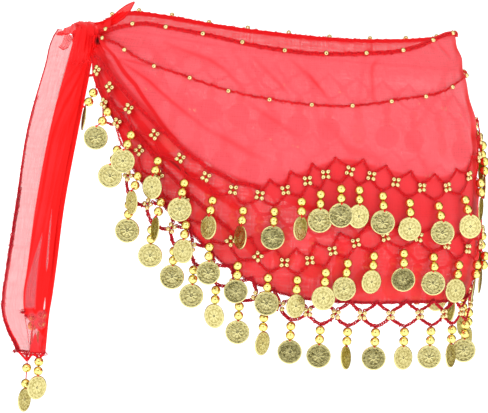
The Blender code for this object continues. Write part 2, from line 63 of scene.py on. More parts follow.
# Sizes shared with the solids
SEAM_GAP = 0.4
COIN_RADIUS = 10.4
BEAD_STEP = 7.8
BEAD_TO_COIN = 14.0
FLOWER_HALF_WIDTH = 4.4
FLOWER_PITCH = 24.0
PEAK_ABOVE_FLOWER = 12.0
APEX_BELOW_FLOWER = 9.4
APEX_TO_BEAD = 5.1
NET_GAP = 0.5
CLOTH_START = 8.5
CLOTH_SPLIT = 182.0
CLOTH_END = 351.5
FRONT_ANGLE = 90.0
TAIL_BOTTOM = -281.0
KNOT_CENTRE = np.array((-167.0, 0.0, -9.0))
KNOT_HALF_SIZE = np.array((18.5, 20.7, 13.0))

# Sizes of what is added here
SMALL_BEAD_RADIUS = 2.1
THREAD_RADIUS = 0.52
# the hem's net is worked with doubled thread
FULL_THREAD_RADIUS = 0.74
CHAIN_LIFT = 0.75
LOW_PEAK = 7.0
ROPE_RISE = 7.2
LOW_PEAK_ENDS = 84.0
EDGE_BEAD_PITCH = 36.0
# from this many layers on, the chiffon darkens to its hollow colour: painted shade for the knot's
# hollow
HOLLOW_SHADE_LAYERS = 6.0
# The share of a drop's swing that its second bead takes
SECOND_BEAD_SWING = 0.45
ABOVE = np.array((0.0, 0.0, 1.0))


class Slot(Enum):
    """The record's material slots."""

    CHIFFON = "chiffon"
    CROCHET = "crochet"
    GILT = "gold_trim"


class Held(Enum):
    """How a sheet of cloth is held."""

    DRAPED = "draped"
    HUNG = "hung"
    GATHERED = "gathered"


class Stretch(Enum):
    """The two stretches of the wrap and of the trims on it."""

    FRONT = "front"
    BACK = "back"


class Profile:
    """A smooth curve through a table's column, against another of its columns."""

    def __init__(self, across: object, values: object) -> None:
        """Keeps the points and works out the slopes at them.

        Args:
            across: the places, rising.
            values: the value at each place.
        """
        self.across = np.array(across, float)
        self.values = np.array(values, float)
        self.slopes = np.gradient(self.values, self.across)

    def __call__(self, at: Number) -> np.ndarray:
        """Reads the curve.

        Args:
            at: places along it. Beyond the table's ends the end values hold.
        Returns:
            The curve's values there.
        """
        at = np.asarray(at, float)
        i = np.searchsorted(self.across, at, side="right") - 1
        i = np.clip(i, 0, len(self.across) - 2)
        step = self.across[i + 1] - self.across[i]
        t = np.clip((at - self.across[i]) / step, 0.0, 1.0)
        rest = 1 - t
        return (
            self.values[i] * (1 + 2 * t) * rest**2
            + self.slopes[i] * step * t * rest**2
            + self.values[i + 1] * (3 - 2 * t) * t**2
            - self.slopes[i + 1] * step * rest * t**2
        )


def profiles(columns: str, rows: tuple) -> dict[str, Profile]:
    """Makes a Profile of each column against the first.

    Args:
        columns: the columns' names, parted by spaces.
        rows: the table's rows.
    Returns:
        The profiles by column name.
    """
    names = columns.split()
    across, *others = zip(*rows)
    return {name: Profile(across, values) for name, values in zip(names[1:], others)}


GIRTH = profiles(
    "height half_width half_depth",
    (
        (-300, 172, 112),
        (-230, 175, 115),
        (-210, 176, 116),
        (-195, 178, 118),
        (-176, 181.5, 119.5),
        (-146, 181, 120),
        (-111, 177, 117),
        (-60, 172, 112),
        (-37, 165.5, 108.5),
        (-24, 161, 106),
        (-9, 157, 103),
        (16, 148, 100),
        (40, 142, 97),
    ),
)
LEVEL = profiles(
    "angle top bead_line row_1 row_2 hem",
    (
        (4, -1, -5, -22, -27, -25),
        (12, 0.5, -6, -24.5, -31, -27),
        (20, 2, -7.5, -29.5, -40, -40),
        (30, 7, -10, -39.5, -54, -56.5),
        (40, 11, -18, -53.5, -72.5, -78),
        (50, 10, -24.5, -70, -94, -115),
        (60, 8.3, -29.5, -90, -118.5, -139),
        (70, 5.6, -36, -109, -141, -162),
        (80, 1.8, -41.5, -122, -164, -187),
        (90, -0.9, -44.6, -124, -178, -202),
        (100, -2.2, -46.5, -110, -178.5, -209.5),
        (110, -1.2, -46, -100, -164.5, -211),
        (120, 0.8, -42.5, -104, -155, -211),
        (130, 3.3, -37.5, -109.5, -152.5, -210),
        (140, 8, -34.5, -112, -155, -209),
        (150, 14, -30, -109.5, -161, -208.5),
        (160, 18, -23.5, -102, -163, -207.5),
        (170, 18.5, -19, -89.5, -161, -205),
        (180, 16.5, -17, -72, -154.5, -199),
        (190, 15, -17, -60, -140, -190),
        (210, 9, -18, -50, -115, -172),
        (230, 3.2, -19, -47, -106, -165),
        (250, -0.2, -20, -45, -101, -158),
        (270, 0.6, -18, -41, -90, -140),
        (290, 4.2, -14, -34, -72, -112),
        (310, 10, -8, -26, -52, -82),
        (330, 12.4, -5, -19, -35, -54),
        (348, 5, -4, -15, -24, -30),
        (356, 0, -4, -13, -20, -25),
    ),
)
TAIL = profiles(
    "height left fold right bend",
    (
        (-290, -203, -193.5, -181, 3),
        (-279, -206, -194.5, -180.5, 2.5),
        (-262, -215, -197.5, -180, 1.8),
        (-247, -220, -201, -179.5, 1),
        (-232, -220.5, -202.5, -178, 0.3),
        (-211, -219, -201, -176.5, -1),
        (-151, -214, -197, -173, 1),
        (-83, -208, -188.5, -165.3, -1.5),
        (-30, -197, -178.5, -158.8, 0),
        (-15, -194, -175, -157.4, 0),
        (-5, -188.6, -171.5, -156.5, 0),
    ),
)
EAR_WIDTH = profiles(
    "share width", ((0, 7.5), (0.35, 6.4), (0.62, 7.8), (0.85, 5.0), (1, 0.4))
)


@dataclass(frozen=True)
class Crease:
    """A trough in the cloth along a path of angles and heights.

    dense says how many layers' worth it adds along its middle: partly the cloth doubled in the fold,
    partly painted crease shade.
    """

    path: tuple
    width: float
    depth: float
    dense: float = 0.0


CREASES = (
    Crease(((32.8, -23.4), (42.7, -31.5), (49, -38), (60, -54.8), (71.2, -73.3)), 4.5, 2.2, 0.5),
    Crease(((32.4, -21.8), (40.9, -23.3), (51.1, -26.5)), 3, 1.2, 0.4),
    Crease(((50.9, -4.7), (61.7, -11.2), (68.2, -15.3), (73.8, -22.9), (80.2, -38)), 4.5, 1.8, 0.35),
    Crease(((82, -9.8), (90.6, -30.8), (93.5, -39.5)), 4.5, 1.5, 0.25),
    Crease(((93.5, -10.1), (99.9, -23.2), (104.5, -38.4)), 4.5, 1.7, 0.3),
    Crease(((99.9, -23.2), (106, -42.4)), 3.5, 1, 0.2),
    Crease(((80.8, -46.4), (89.6, -61.4), (97, -73.5)), 6, 1.6, 0.25),
    Crease(((71.2, -73.3), (78, -82), (88, -96)), 7, 1.4, 0.3),
    Crease(((122.8, -4.3), (120.3, -12.1), (119.4, -40.6)), 4, 2, 0.35),
    Crease(((56.1, -94.1), (64.1, -108.3), (72.3, -120.7), (82.4, -138.6)), 6, 2.4, 0.8),
    Crease(((147.2, 8.4), (150.1, 4.2)), 3, 1, 0.2),
    Crease(((152.6, 10), (160, -1.9)), 3.5, 1.5, 0.3),
    Crease(((152.2, -24.1), (150, -37.4)), 3.5, 1.3, 0.25),
    Crease(((168, -40), (170, -80), (171, -120)), 7, 2, 0.3),
    Crease(((12, -12), (26, -30), (42, -58), (55, -86), (66, -112)), 5, 1.2, 1.2),
    Crease(((11, -16), (22, -38), (36, -66), (48, -98)), 5, 1.2, 1.4),
    Crease(((14, -8), (28, -20), (44, -42), (54, -64), (62, -84)), 4.5, 1.0, 0.9),
    Crease(((33.5, -62.1), (49, -85.7), (59.7, -100.9), (69.3, -118), (75.2, -128.5)), 5, 1.2, 1.3),
    Crease(((96, -128), (108, -140), (118, -144)), 8, 1.2, 0.3),
    Crease(((128, -60), (136, -84), (139, -104)), 9, 1.0, 0.15),
    Crease(((104, -60), (112, -82), (124, -92)), 9, 1.0, 0.2),
    Crease(((200, -8), (212, -36), (226, -72)), 6, 2.2, 0.4),
    Crease(((188, 4), (196, -14), (206, -40)), 5, 1.4, 0.3),
    Crease(((239, -4), (242, -14), (248, -84)), 5, 1.7, 0.35),
    Crease(((262, -18), (259, -50), (256, -92)), 6, 2, 0.3),
    Crease(((286, -12), (279, -36), (270, -70)), 5, 1.9, 0.35),
    Crease(((318, -12), (308, -30), (294, -50)), 5, 2.2, 0.5),
    Crease(((346, -10), (326, -24), (304, -52)), 5, 1.3, 0.9),
    Crease(((228, -100), (240, -122), (256, -132)), 8, 1.3, 0.2),
)


@dataclass(frozen=True)
class Standoff:
    """How far out of the cloth the beads and a flat coin hang, up to an angle."""

    up_to_angle: float
    bead: float
    coin: float


@dataclass(frozen=True)
class Row:
    """A net row, with its flowers' angles and its coins' turns from facing the front."""

    name: str
    column: str
    below: float
    lift: float
    plain_cells: int
    flowers: tuple
    turns: tuple
    end: float
    standoffs: tuple

    def height(self, angle: Number) -> np.ndarray:
        """The height of the row's flowers at this angle."""
        return LEVEL[self.column](angle) - self.below


ROWS = (
    Row(
        name="row_1",
        column="row_1",
        below=0,
        lift=2.1,
        plain_cells=1,
        flowers=(18, 24.8, 34.9, 45.3, 55.8, 64.5, 72.4, 80.2, 87.4, 94.2, 100)
        + (105, 111.9, 118.3, 126.2, 135.6, 146.9, 160.4, 171.8, 180),
        turns=(80, 0, 0, 35, 0, 50, 60, 0, 55, 0, 0, 30, 0, 15, 0, 20, 75, 90),
        end=316,
        standoffs=(
            Standoff(32, 4.9, 3.8),
            Standoff(82, 6.8, 11.2),
            Standoff(272, 4.9, 3.8),
            Standoff(360, 6.8, 11.2),
        ),
    ),
    Row(
        name="row_2",
        column="row_2",
        below=0,
        lift=0,
        plain_cells=1,
        flowers=(33.6, 41.3, 50.9, 58.4, 66.9, 73.8, 80.6, 88.1, 95.2, 101.9)
        + (107.8, 114.3, 123.1, 134.3, 146.3, 158.4, 171, 183),
        turns=(0, 60, 70, 35, 0, 0, 0, 40, 15, 10, 35, 0, 0, 35, 85, 80),
        end=304,
        standoffs=(
            Standoff(98, 6.2, 6.8),
            Standoff(250, 4.9, 3.8),
            Standoff(360, 6.2, 6.8),
        ),
    ),
    Row(
        name="row_3",
        column="hem",
        below=10,
        lift=0,
        plain_cells=0,
        flowers=(48, 56, 64, 70, 76, 82, 88.5, 95, 102.8, 110.7, 118.8, 128.1)
        + (139.1, 150.8, 163, 176, 188),
        turns=(0, 0, 0, 0, 35, 0, 55, 0, 0, 65, 0, 40, 0, 65, 0, 60),
        end=292,
        standoffs=(Standoff(360, 1.3, 1.3),),
    ),
)
BACK_TURNS = (0, 18, -12, 30, 8, -22, 40)


def ease(value: Number, start: Number, end: Number) -> np.ndarray:
    """A soft step.

    Args:
        value: what is stepped.
        start: where the step leaves 0.
        end: where it reaches 1.
    Returns:
        0 before start, 1 after end, with a soft change between.
    """
    t = np.clip((np.asarray(value, float) - start) / (end - start), 0.0, 1.0)
    return t * t * (3 - 2 * t)


def unit(vectors: object) -> np.ndarray:
    """The vectors at length 1."""
    vectors = np.asarray(vectors, float)
    return vectors / np.linalg.norm(vectors, axis=-1, keepdims=True)


def ring_normal(angle: Number, height: Number) -> np.ndarray:
    """The level direction straight out of the cloth.

    Args:
        angle: angles round the figure, in degrees.
        height: heights, in millimetres.
    Returns:
        Directions of length 1.
    """
    turn = np.radians(angle)
    x = -np.cos(turn) / GIRTH["half_width"](height)
    y = -np.sin(turn) / GIRTH["half_depth"](height)
    return unit(np.stack(np.broadcast_arrays(x, y, 0.0), axis=-1))


def ring_point(
    angle: Number, height: Number, out: Number = 0.0, girth_at: Number | None = None
) -> np.ndarray:
    """A point out of the smooth ring.

    Args:
        angle: angles round the figure, in degrees.
        height: heights, in millimetres.
        out: how far out of the ring the point is.
        girth_at: the height whose girth it takes, or None for its own.
    Returns:
        The points.
    """
    girth_at = height if girth_at is None else girth_at
    turn = np.radians(angle)
    x = -GIRTH["half_width"](girth_at) * np.cos(turn)
    y = -GIRTH["half_depth"](girth_at) * np.sin(turn)
    base = np.stack(np.broadcast_arrays(x, y, np.asarray(height, float)), axis=-1)
    return base + ring_normal(angle, girth_at) * np.asarray(out)[..., None]


def arc_rate(angle: Number, height: Number) -> np.ndarray:
    """Millimetres along the ring for each degree.

    Args:
        angle: angles round the figure, in degrees.
        height: heights, in millimetres.
    Returns:
        The rates.
    """
    turn = np.radians(angle)
    across = GIRTH["half_width"](height) * np.sin(turn)
    away = GIRTH["half_depth"](height) * np.cos(turn)
    return np.hypot(across, away) * math.pi / 180


def half_seam() -> float:
    """Half the gap between the two stretches, in degrees."""
    return SEAM_GAP / 2 / float(arc_rate(CLOTH_SPLIT, LEVEL["row_2"](CLOTH_SPLIT)))


def path_distance(
    angle: np.ndarray, height: np.ndarray, path: tuple
) -> tuple[np.ndarray, np.ndarray]:
    """Measures on the cloth from each point to a path.

    Args:
        angle: the points' angles, in degrees.
        height: their heights, in millimetres.
        path: the path's places, each an angle and a height.
    Returns:
        The distances, and the share of the path reached at the nearest place.
    """
    rate = arc_rate(angle, height)
    nearest = np.full(np.shape(rate), np.inf)
    reached = np.zeros(np.shape(rate))
    for i, (first, second) in enumerate(zip(path, path[1:])):
        x0 = (first[0] - angle) * rate
        y0 = first[1] - height
        dx = (second[0] - angle) * rate - x0
        dy = (second[1] - height) - y0
        t = np.clip(-(x0 * dx + y0 * dy) / (dx * dx + dy * dy), 0, 1)
        distance = np.hypot(x0 + dx * t, y0 + dy * t)
        closer = distance < nearest
        nearest = np.where(closer, distance, nearest)
        reached = np.where(closer, (i + t) / (len(path) - 1), reached)
    return nearest, reached


@dataclass(frozen=True)
class Template:
    """A small mesh that is placed many times. value is kept on its points."""

    points: np.ndarray
    quads: np.ndarray
    triangles: np.ndarray | None = None
    value: Number = 0.0


class Builder:
    """Gathers points and faces, in millimetres, into one mesh."""

    def __init__(self) -> None:
        """Starts with no points and no faces."""
        self.points: list[np.ndarray] = []
        self.faces: dict[int, list[np.ndarray]] = {4: [], 3: []}
        self.values: list[np.ndarray] = []
        self.count = 0

    def add(
        self,
        points: np.ndarray,
        quads: np.ndarray | None = None,
        triangles: np.ndarray | None = None,
        value: Number = 0.0,
    ) -> None:
        """Adds points with their faces.

        Args:
            points: the points.
            quads: four indices a row, from the first of these points.
            triangles: three indices a row.
            value: what the points carry as an attribute.
        """
        points = np.asarray(points, float)
        self.points.append(points)
        for corners, faces in ((4, quads), (3, triangles)):
            if faces is not None:
                self.faces[corners].append(np.asarray(faces) + self.count)
        self.values.append(np.broadcast_to(np.asarray(value, float), (len(points),)))
        self.count += len(points)

    def place(
        self, template: Template, origin: np.ndarray, axes: object, scale: float = 1.0
    ) -> None:
        """Adds a template.

        Args:
            template: the small mesh.
            origin: where its middle goes.
            axes: the directions of its x, y and z.
            scale: its size beside the template's.
        """
        turned = template.points * scale @ np.asarray(axes, float)
        points = turned + np.asarray(origin, float)
        self.add(points, template.quads, template.triangles, template.value)

    def build(
        self,
        name: str,
        material: bpy.types.Material,
        attribute: str = "worn",
        cut: np.ndarray | None = None,
    ) -> bpy.types.Object:
        """Makes the object.

        Args:
            name: the object's name.
            material: its material.
            attribute: the name under which the values are kept.
            cut: the place of each point in the flat cloth, in millimetres.
        Returns:
            The new object.
        """
        points = np.concatenate(self.points) * MM
        blocks = self.faces[4] + self.faces[3]
        faces = [face for block in blocks for face in block.tolist()]
        mesh = bpy.data.meshes.new(name)
        mesh.from_pydata(points.tolist(), [], faces)
        mesh.shade_smooth()
        layer = mesh.attributes.new(attribute, "FLOAT", "POINT")
        layer.data.foreach_set("value", np.concatenate(self.values).astype(np.float32))
        if cut is not None:
            uv = mesh.uv_layers.new(name="Cut")
            corners = np.zeros(len(mesh.loops), np.int32)
            mesh.loops.foreach_get("vertex_index", corners)
            uv.data.foreach_set("uv", (np.asarray(cut)[corners] * MM).ravel())
        mesh.materials.append(material)
        obj = bpy.data.objects.new(name, mesh)
        bpy.context.scene.collection.objects.link(obj)
        return obj


def settle(obj: bpy.types.Object, slot: Slot, *nodes: str) -> bpy.types.Object:
    """Lets a piece ride on the frame.

    Args:
        obj: the piece.
        slot: its material slot, not used.
        nodes: the solids that it stands for.
    Returns:
        The piece.
    """
    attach(obj, "root")
    if nodes:
        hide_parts(*nodes)
    return obj


def grid_faces(columns: int, rows: int, closed: bool = False) -> np.ndarray:
    """Quads of a grid of points.

    Args:
        columns: points in a row.
        rows: rows.
        closed: whether each row's last point joins its first.
    Returns:
        Four indices for each quad.
    """
    index = np.arange(columns * rows).reshape(rows, columns)
    near = index if closed else index[:, :-1]
    far = np.roll(index, -1, axis=1) if closed else index[:, 1:]
    return np.stack((near[:-1], far[:-1], far[1:], near[1:]), axis=-1).reshape(-1, 4)


def ring_faces(rings: int, segments: int) -> np.ndarray:
    """Quads of a grid of points that is closed both ways.

    Args:
        rings: rings of points.
        segments: points in a ring.
    Returns:
        Four indices for each quad.
    """
    index = np.arange(rings * segments).reshape(rings, segments)
    ahead = np.roll(index, -1, axis=0)
    quads = (index, np.roll(index, -1, axis=1), np.roll(ahead, -1, axis=1), ahead)
    return np.stack(quads, axis=-1).reshape(-1, 4)


def tube_ring(way: np.ndarray, tilt: tuple, segments: int = 6) -> np.ndarray:
    """Directions round a thread, square to its way.

    Args:
        way: the thread's directions, or one direction.
        tilt: a direction that the thread never takes.
        segments: directions in a ring.
    Returns:
        A ring of directions of length 1 for each way.
    """
    side = unit(np.cross(way, tilt))
    other = np.cross(way, side)
    turn = np.arange(segments) / segments * 2 * math.pi
    cosine = np.cos(turn)[:, None]
    sine = np.sin(turn)[:, None]
    return side[..., None, :] * cosine + other[..., None, :] * sine


@dataclass(frozen=True)
class Bead:
    """A round bead with a hole through it along z."""

    radius: float
    hole: float
    segments: int
    rings: int

    def template(self) -> Template:
        """Turns the bead round its hole.

        Returns:
            A closed ring, its inside the hole's wall.
        """
        edge = math.acos(self.hole / self.radius)
        bend = np.linspace(-edge, edge, self.rings)
        turn = np.arange(self.segments) / self.segments * 2 * math.pi
        radius = (self.radius * np.cos(bend))[:, None]
        x = radius * np.cos(turn)
        y = radius * np.sin(turn)
        z = np.broadcast_to((self.radius * np.sin(bend))[:, None], x.shape)
        points = np.stack((x, y, z), axis=-1).reshape(-1, 3)
        return Template(points, ring_faces(self.rings, self.segments))


@dataclass(frozen=True)
class Coin:
    """A stamped coin in the x-z plane, its hole towards +z, with relief on both faces."""

    radius: float = COIN_RADIUS
    half_thickness: float = 0.35
    relief: float = 0.36
    dots: int = 13
    petals: int = 8
    ring_shares: tuple = (0.1, 0.2, 0.32, 0.44, 0.56, 0.64, 0.7, 0.77, 0.84, 0.9, 1.0)

    def stamp(self, share: np.ndarray, turn: np.ndarray) -> np.ndarray:
        """The relief of a plain coin: rim, ring of dots, line and rosette.

        Args:
            share: shares of the coin's radius.
            turn: turns round it, in radians.
        Returns:
            The relief, about 1 where it is high.
        """
        rim = ease(share, 0.86, 0.9) * (1 - 0.4 * ease(share, 0.96, 1.0))
        ring = np.exp(-(((share - 0.77) / 0.05) ** 2))
        dots = ring * (0.5 + 0.5 * np.cos(self.dots * turn)) ** 1.5
        line = 0.45 * np.exp(-(((share - 0.64) / 0.03) ** 2))
        rosette = np.abs(np.cos(self.petals / 2 * turn)) ** 1.5
        rosette = rosette * np.sin(np.clip(share / 0.56, 0, 1) * math.pi)
        boss = 1 - ease(share, 0.1, 0.16)
        return rim + 0.7 * dots + line + 0.75 * rosette + 0.8 * boss

    def template(self) -> Template:
        """Stamps the coin.

        Returns:
            Its two faces, each with a middle point, and the rim between.
        """
        segments = 4 * self.dots
        turn = np.arange(segments) / segments * 2 * math.pi
        share, turns = np.meshgrid(np.array(self.ring_shares), turn, indexing="ij")
        stamp = self.stamp(share, turns)
        edge = np.where(share > 0.99, 0.6, 1.0)
        x = self.radius * share * np.cos(turns)
        z = self.radius * share * np.sin(turns)
        y = -(self.half_thickness * edge + stamp * self.relief * 0.5)
        near = np.stack((x, y, z), axis=-1)
        far = near * (1, -1, 1)
        centre = np.array((0, self.half_thickness + 0.3, 0))
        middle = np.array((-centre, centre))
        points = np.concatenate((near.reshape(-1, 3), far.reshape(-1, 3), middle))
        half = share.size
        quads = grid_faces(segments, len(self.ring_shares), closed=True)
        index = np.arange(segments)
        after = np.roll(index, -1)
        last = half - segments
        rim = np.stack((index + last, after + last, after + last + half, index + last + half), -1)
        all_quads = np.concatenate((quads, quads[:, ::-1] + half, rim))
        first = np.stack((np.full(segments, 2 * half), index, after), -1)
        second = np.stack((np.full(segments, 2 * half + 1), after + half, index + half), -1)
        worn = np.clip(stamp, 0, 1).ravel()
        value = np.concatenate((worn, worn, (1, 1)))
        return Template(points, all_quads, np.concatenate((first, second)), value)


@dataclass(frozen=True)
class Stitch:
    """One loop of a crocheted chain: an oval ring of thread in the x-y plane."""

    thread: float
    length: float = 1.5
    half_width: float = 0.9
    bends: int = 7
    sides: int = 3

    def template(self) -> Template:
        """Bends the thread.

        Returns:
            The loop, narrower at its far end.
        """
        around = np.arange(self.bends) / self.bends * 2 * math.pi
        tube = np.arange(self.sides) / self.sides * 2 * math.pi
        a, t = np.meshgrid(around, tube, indexing="ij")
        x = (self.length + self.thread * np.cos(t)) * np.cos(a)
        width = self.half_width + self.thread * np.cos(t)
        y = width * np.sin(a) * (1 - 0.3 * np.cos(a))
        z = self.thread * np.sin(t) + 0.3 * np.cos(a)
        points = np.stack((x, y, z), axis=-1).reshape(-1, 3)
        index = np.arange(len(points)).reshape(self.bends, self.sides)
        ahead = np.roll(index, -1, axis=0)
        quads = (index, ahead, np.roll(ahead, -1, 1), np.roll(index, -1, 1))
        return Template(points, np.stack(quads, -1).reshape(-1, 4))


def lengths_along(path: np.ndarray) -> np.ndarray:
    """The length along a path at each of its points."""
    steps = np.linalg.norm(np.diff(path, axis=0), axis=1)
    return np.concatenate(((0,), np.cumsum(steps)))


def read_along(values: np.ndarray, along: np.ndarray, places: np.ndarray) -> np.ndarray:
    """Reads vectors that are given along a path.

    Args:
        values: the vectors at the path's points.
        along: the length along the path at each point.
        places: the lengths at which they are read.
    Returns:
        A vector for each place.
    """
    return np.stack([np.interp(places, along, values[:, i]) for i in range(3)], -1)


@dataclass
class Trim:
    """Makes crocheted chains, beads and coins, with small seeded unevenness."""

    stitch_pitch: float = 1.9
    picot_share: float = 0.16
    drop_thread: float = 0.5
    stitch: Template = field(default_factory=Stitch(THREAD_RADIUS).template)
    full_stitch: Template = field(default_factory=Stitch(FULL_THREAD_RADIUS).template)
    bead: Template = field(default_factory=Bead(3.95, 0.7, 20, 13).template)
    small: Template = field(default_factory=Bead(SMALL_BEAD_RADIUS, 0.6, 12, 8).template)
    tie: Template = field(default_factory=Bead(1.15, 0.2, 7, 5).template)
    coin: Template = field(default_factory=Coin().template)
    random: np.random.Generator = field(default_factory=lambda: np.random.default_rng(SEED))

    def chain(
        self,
        net: Builder,
        path: np.ndarray,
        outwards: np.ndarray,
        scale: float = 1.0,
        full: bool = False,
    ) -> None:
        """A crocheted chain along points.

        Args:
            net: takes the stitches.
            path: the points.
            outwards: the direction at each point against which the chain lies flat.
            scale: the stitches' size.
            full: whether it is worked with doubled thread.
        """
        path = np.asarray(path, float)
        outwards = np.broadcast_to(np.asarray(outwards, float), path.shape)
        along = lengths_along(path)
        count = max(int(along[-1] / (self.stitch_pitch * scale)), 1)
        places = (np.arange(count) + 0.5) / count * along[-1]
        centre = read_along(path, along, places)
        ahead = read_along(path, along, places + 0.4)
        before = read_along(path, along, places - 0.4)
        forward = unit(ahead - before)
        side = unit(np.cross(read_along(outwards, along, places), forward))
        up = unit(np.cross(forward, side))
        lean = self.random.normal(0, 0.2, count)
        size = scale * (1 + self.random.normal(0, 0.06, count))
        stitch = self.full_stitch if full else self.stitch
        for i in range(count):
            tilt = math.cos(lean[i]) * side[i] + math.sin(lean[i]) * up[i]
            rise = math.cos(lean[i]) * up[i] - math.sin(lean[i]) * side[i]
            nudge = side[i] * self.random.normal(0, 0.12)
            net.place(stitch, centre[i] + nudge, (forward[i], tilt, rise), size[i])
            if self.random.random() < self.picot_share:
                away = 1 if self.random.random() < 0.5 else -1
                loop = unit(tilt * away + forward[i] * self.random.normal(0, 0.4))
                axes = (loop, np.cross(rise, loop), rise)
                net.place(stitch, centre[i] + loop * 1.1, axes, 0.62 * scale)

    def flower(
        self, gilt: Builder, net: Builder, centre: np.ndarray, out: np.ndarray, slope: float
    ) -> None:
        """Four small beads sewn in a square round a thread knot.

        Args:
            gilt: takes the beads.
            net: takes the thread knot.
            centre: the flower's middle.
            out: the direction away from the cloth.
            slope: the row's slope there, in radians.
        """
        side = unit(np.cross(ABOVE, out))
        turn = slope + self.random.normal(0, 0.16)
        across = side * math.cos(turn) + ABOVE * math.sin(turn)
        up = np.cross(out, across)
        spread = SMALL_BEAD_RADIUS * 1.02
        for sx in (-1, 1):
            for sz in (-1, 1):
                place = centre + across * sx * spread + up * sz * spread
                place = place + self.random.normal(0, 0.15, 3)
                hole = unit(out + across * sx * 0.35 + up * sz * 0.35)
                x_axis = unit(np.cross((0.1, 0.2, 1.0), hole))
                gilt.place(self.small, place, (x_axis, np.cross(hole, x_axis), hole))
        net.place(self.tie, centre - out * 0.6, (across, out, up), 1.1)

    def drop(
        self,
        net: Builder,
        gilt: Builder,
        coins: Builder,
        place: Place,
        out: np.ndarray,
        turn: float,
    ) -> None:
        """Two beads and a coin on a thread.

        Args:
            net: takes the thread.
            gilt: takes the beads.
            coins: takes the coin.
            place: gives the middle of the drop at a depth below its root and a swing.
            out: the level direction away from the cloth.
            turn: how far the coin is turned from lying flat, in degrees.
        """
        coin_depth = APEX_TO_BEAD + BEAD_STEP + BEAD_TO_COIN
        first = place(APEX_TO_BEAD, 0)
        second = place(APEX_TO_BEAD + BEAD_STEP, SECOND_BEAD_SWING)
        coin = place(coin_depth, 1)
        root = place(0, 0)
        neck = coin + ABOVE * (COIN_RADIUS - 1.2)
        side = np.array((-out[1], out[0], 0.0))
        for start, end in ((root, first), (first, second), (second, neck)):
            self.cord(net, start, end, self.drop_thread)
        lean = self.random.normal(0, 0.06, 4)
        for centre, tip in ((first, lean[0]), (second, lean[1])):
            down = unit((tip, tip * 0.5, 1.0))
            x_axis = unit(np.cross(down, out))
            gilt.place(self.bead, centre, (x_axis, np.cross(down, x_axis), down))
        angle = math.radians(turn)
        wide = side * math.cos(angle) + out * math.sin(angle)
        up = unit(ABOVE + wide * lean[2] + out * lean[3])
        wide = unit(wide - up * np.dot(wide, up))
        deep = np.cross(up, wide)
        size = self.random.uniform(0.97, 1.0)
        top = place(coin_depth - COIN_RADIUS, 0.9)
        centre = 0.5 * (coin + top - up * COIN_RADIUS)
        coins.place(self.coin, centre, (wide, deep, up), size)
        net.place(self.tie, neck + ABOVE * 0.6, (wide, deep, up), 0.85)

    def hem(self, net: Builder, path: np.ndarray, radius: float) -> None:
        """A rolled and stitched hem.

        Args:
            net: takes the hem.
            path: the points along its middle.
            radius: how thick it is, half its width.
        """
        path = np.asarray(path, float)
        way = unit(np.gradient(path, axis=0) + 1e-9)
        ring = tube_ring(way, (0.1, -0.95, 0.25))
        thick = radius * (1 + 0.15 * np.sin(np.arange(len(path)) * 1.9))[:, None, None]
        rings = path[:, None] + ring * thick
        net.add(rings.reshape(-1, 3), grid_faces(ring.shape[1], len(path), closed=True))

    def fray(self, net: Builder, start: np.ndarray, way: np.ndarray, count: int) -> None:
        """Loose threads at a torn corner.

        Args:
            net: takes the threads.
            start: where they start.
            way: which way they lie, as long as a middling thread.
            count: how many.
        """
        for _ in range(count):
            first = start + self.random.normal(0, 0.9, 3) * (1, 0.4, 1)
            last = first + way * self.random.uniform(0.3, 1.1) + self.random.normal(0, 0.5, 3)
            self.cord(net, first, last, 0.2)

    def cord(self, net: Builder, start: np.ndarray, end: np.ndarray, radius: float) -> None:
        """A short straight thread.

        Args:
            net: takes the thread.
            start: its first point.
            end: its last point.
            radius: half its width.
        """
        way = np.asarray(end, float) - np.asarray(start, float)
        ring = tube_ring(unit(way), (0.3, 0.9, 0.1))
        rings = [start + way * share + ring * radius for share in np.linspace(0, 1, 4)]
        net.add(np.concatenate(rings), grid_faces(len(ring), len(rings), closed=True))


def facing(direction: np.ndarray) -> float:
    """Degrees that a level direction is turned from the front, towards +X."""
    return math.degrees(math.atan2(direction[0], -direction[1]))


def half_turned(degrees: float) -> float:
    """The same turn of a coin, brought between -90 and 90."""
    return (degrees + 90) % 180 - 90


def front_turns(row: Row) -> list:
    """Each front coin's turn from lying flat, from its turn from the front.

    Args:
        row: the row.
    Returns:
        The turns in degrees, or None for a cell without a drop.
    """
    flat = []
    for i, turn in enumerate(row.turns):
        cell = i + row.plain_cells
        middle = (row.flowers[cell] + row.flowers[cell + 1]) / 2
        normal = facing(ring_normal(middle, row.height(middle)))
        side = -1 if middle < FRONT_ANGLE else 1
        flat.append(half_turned(normal - side * turn))
    return [None] * row.plain_cells + flat


def back_flowers(row: Row) -> list[float]:
    """Flowers at an even pitch round the back.

    Args:
        row: the row.
    Returns:
        Their angles, from the row's seam to its end behind the knotted hip.
    """
    angles = [row.flowers[-1]]
    while angles[-1] < row.end:
        height = row.height(angles[-1])
        rate = arc_rate(angles[-1], height)
        rise = (row.height(angles[-1] + 1) - height) / rate
        angles.append(float(angles[-1] + FLOWER_PITCH / (rate * math.hypot(1, rise))))
    return angles


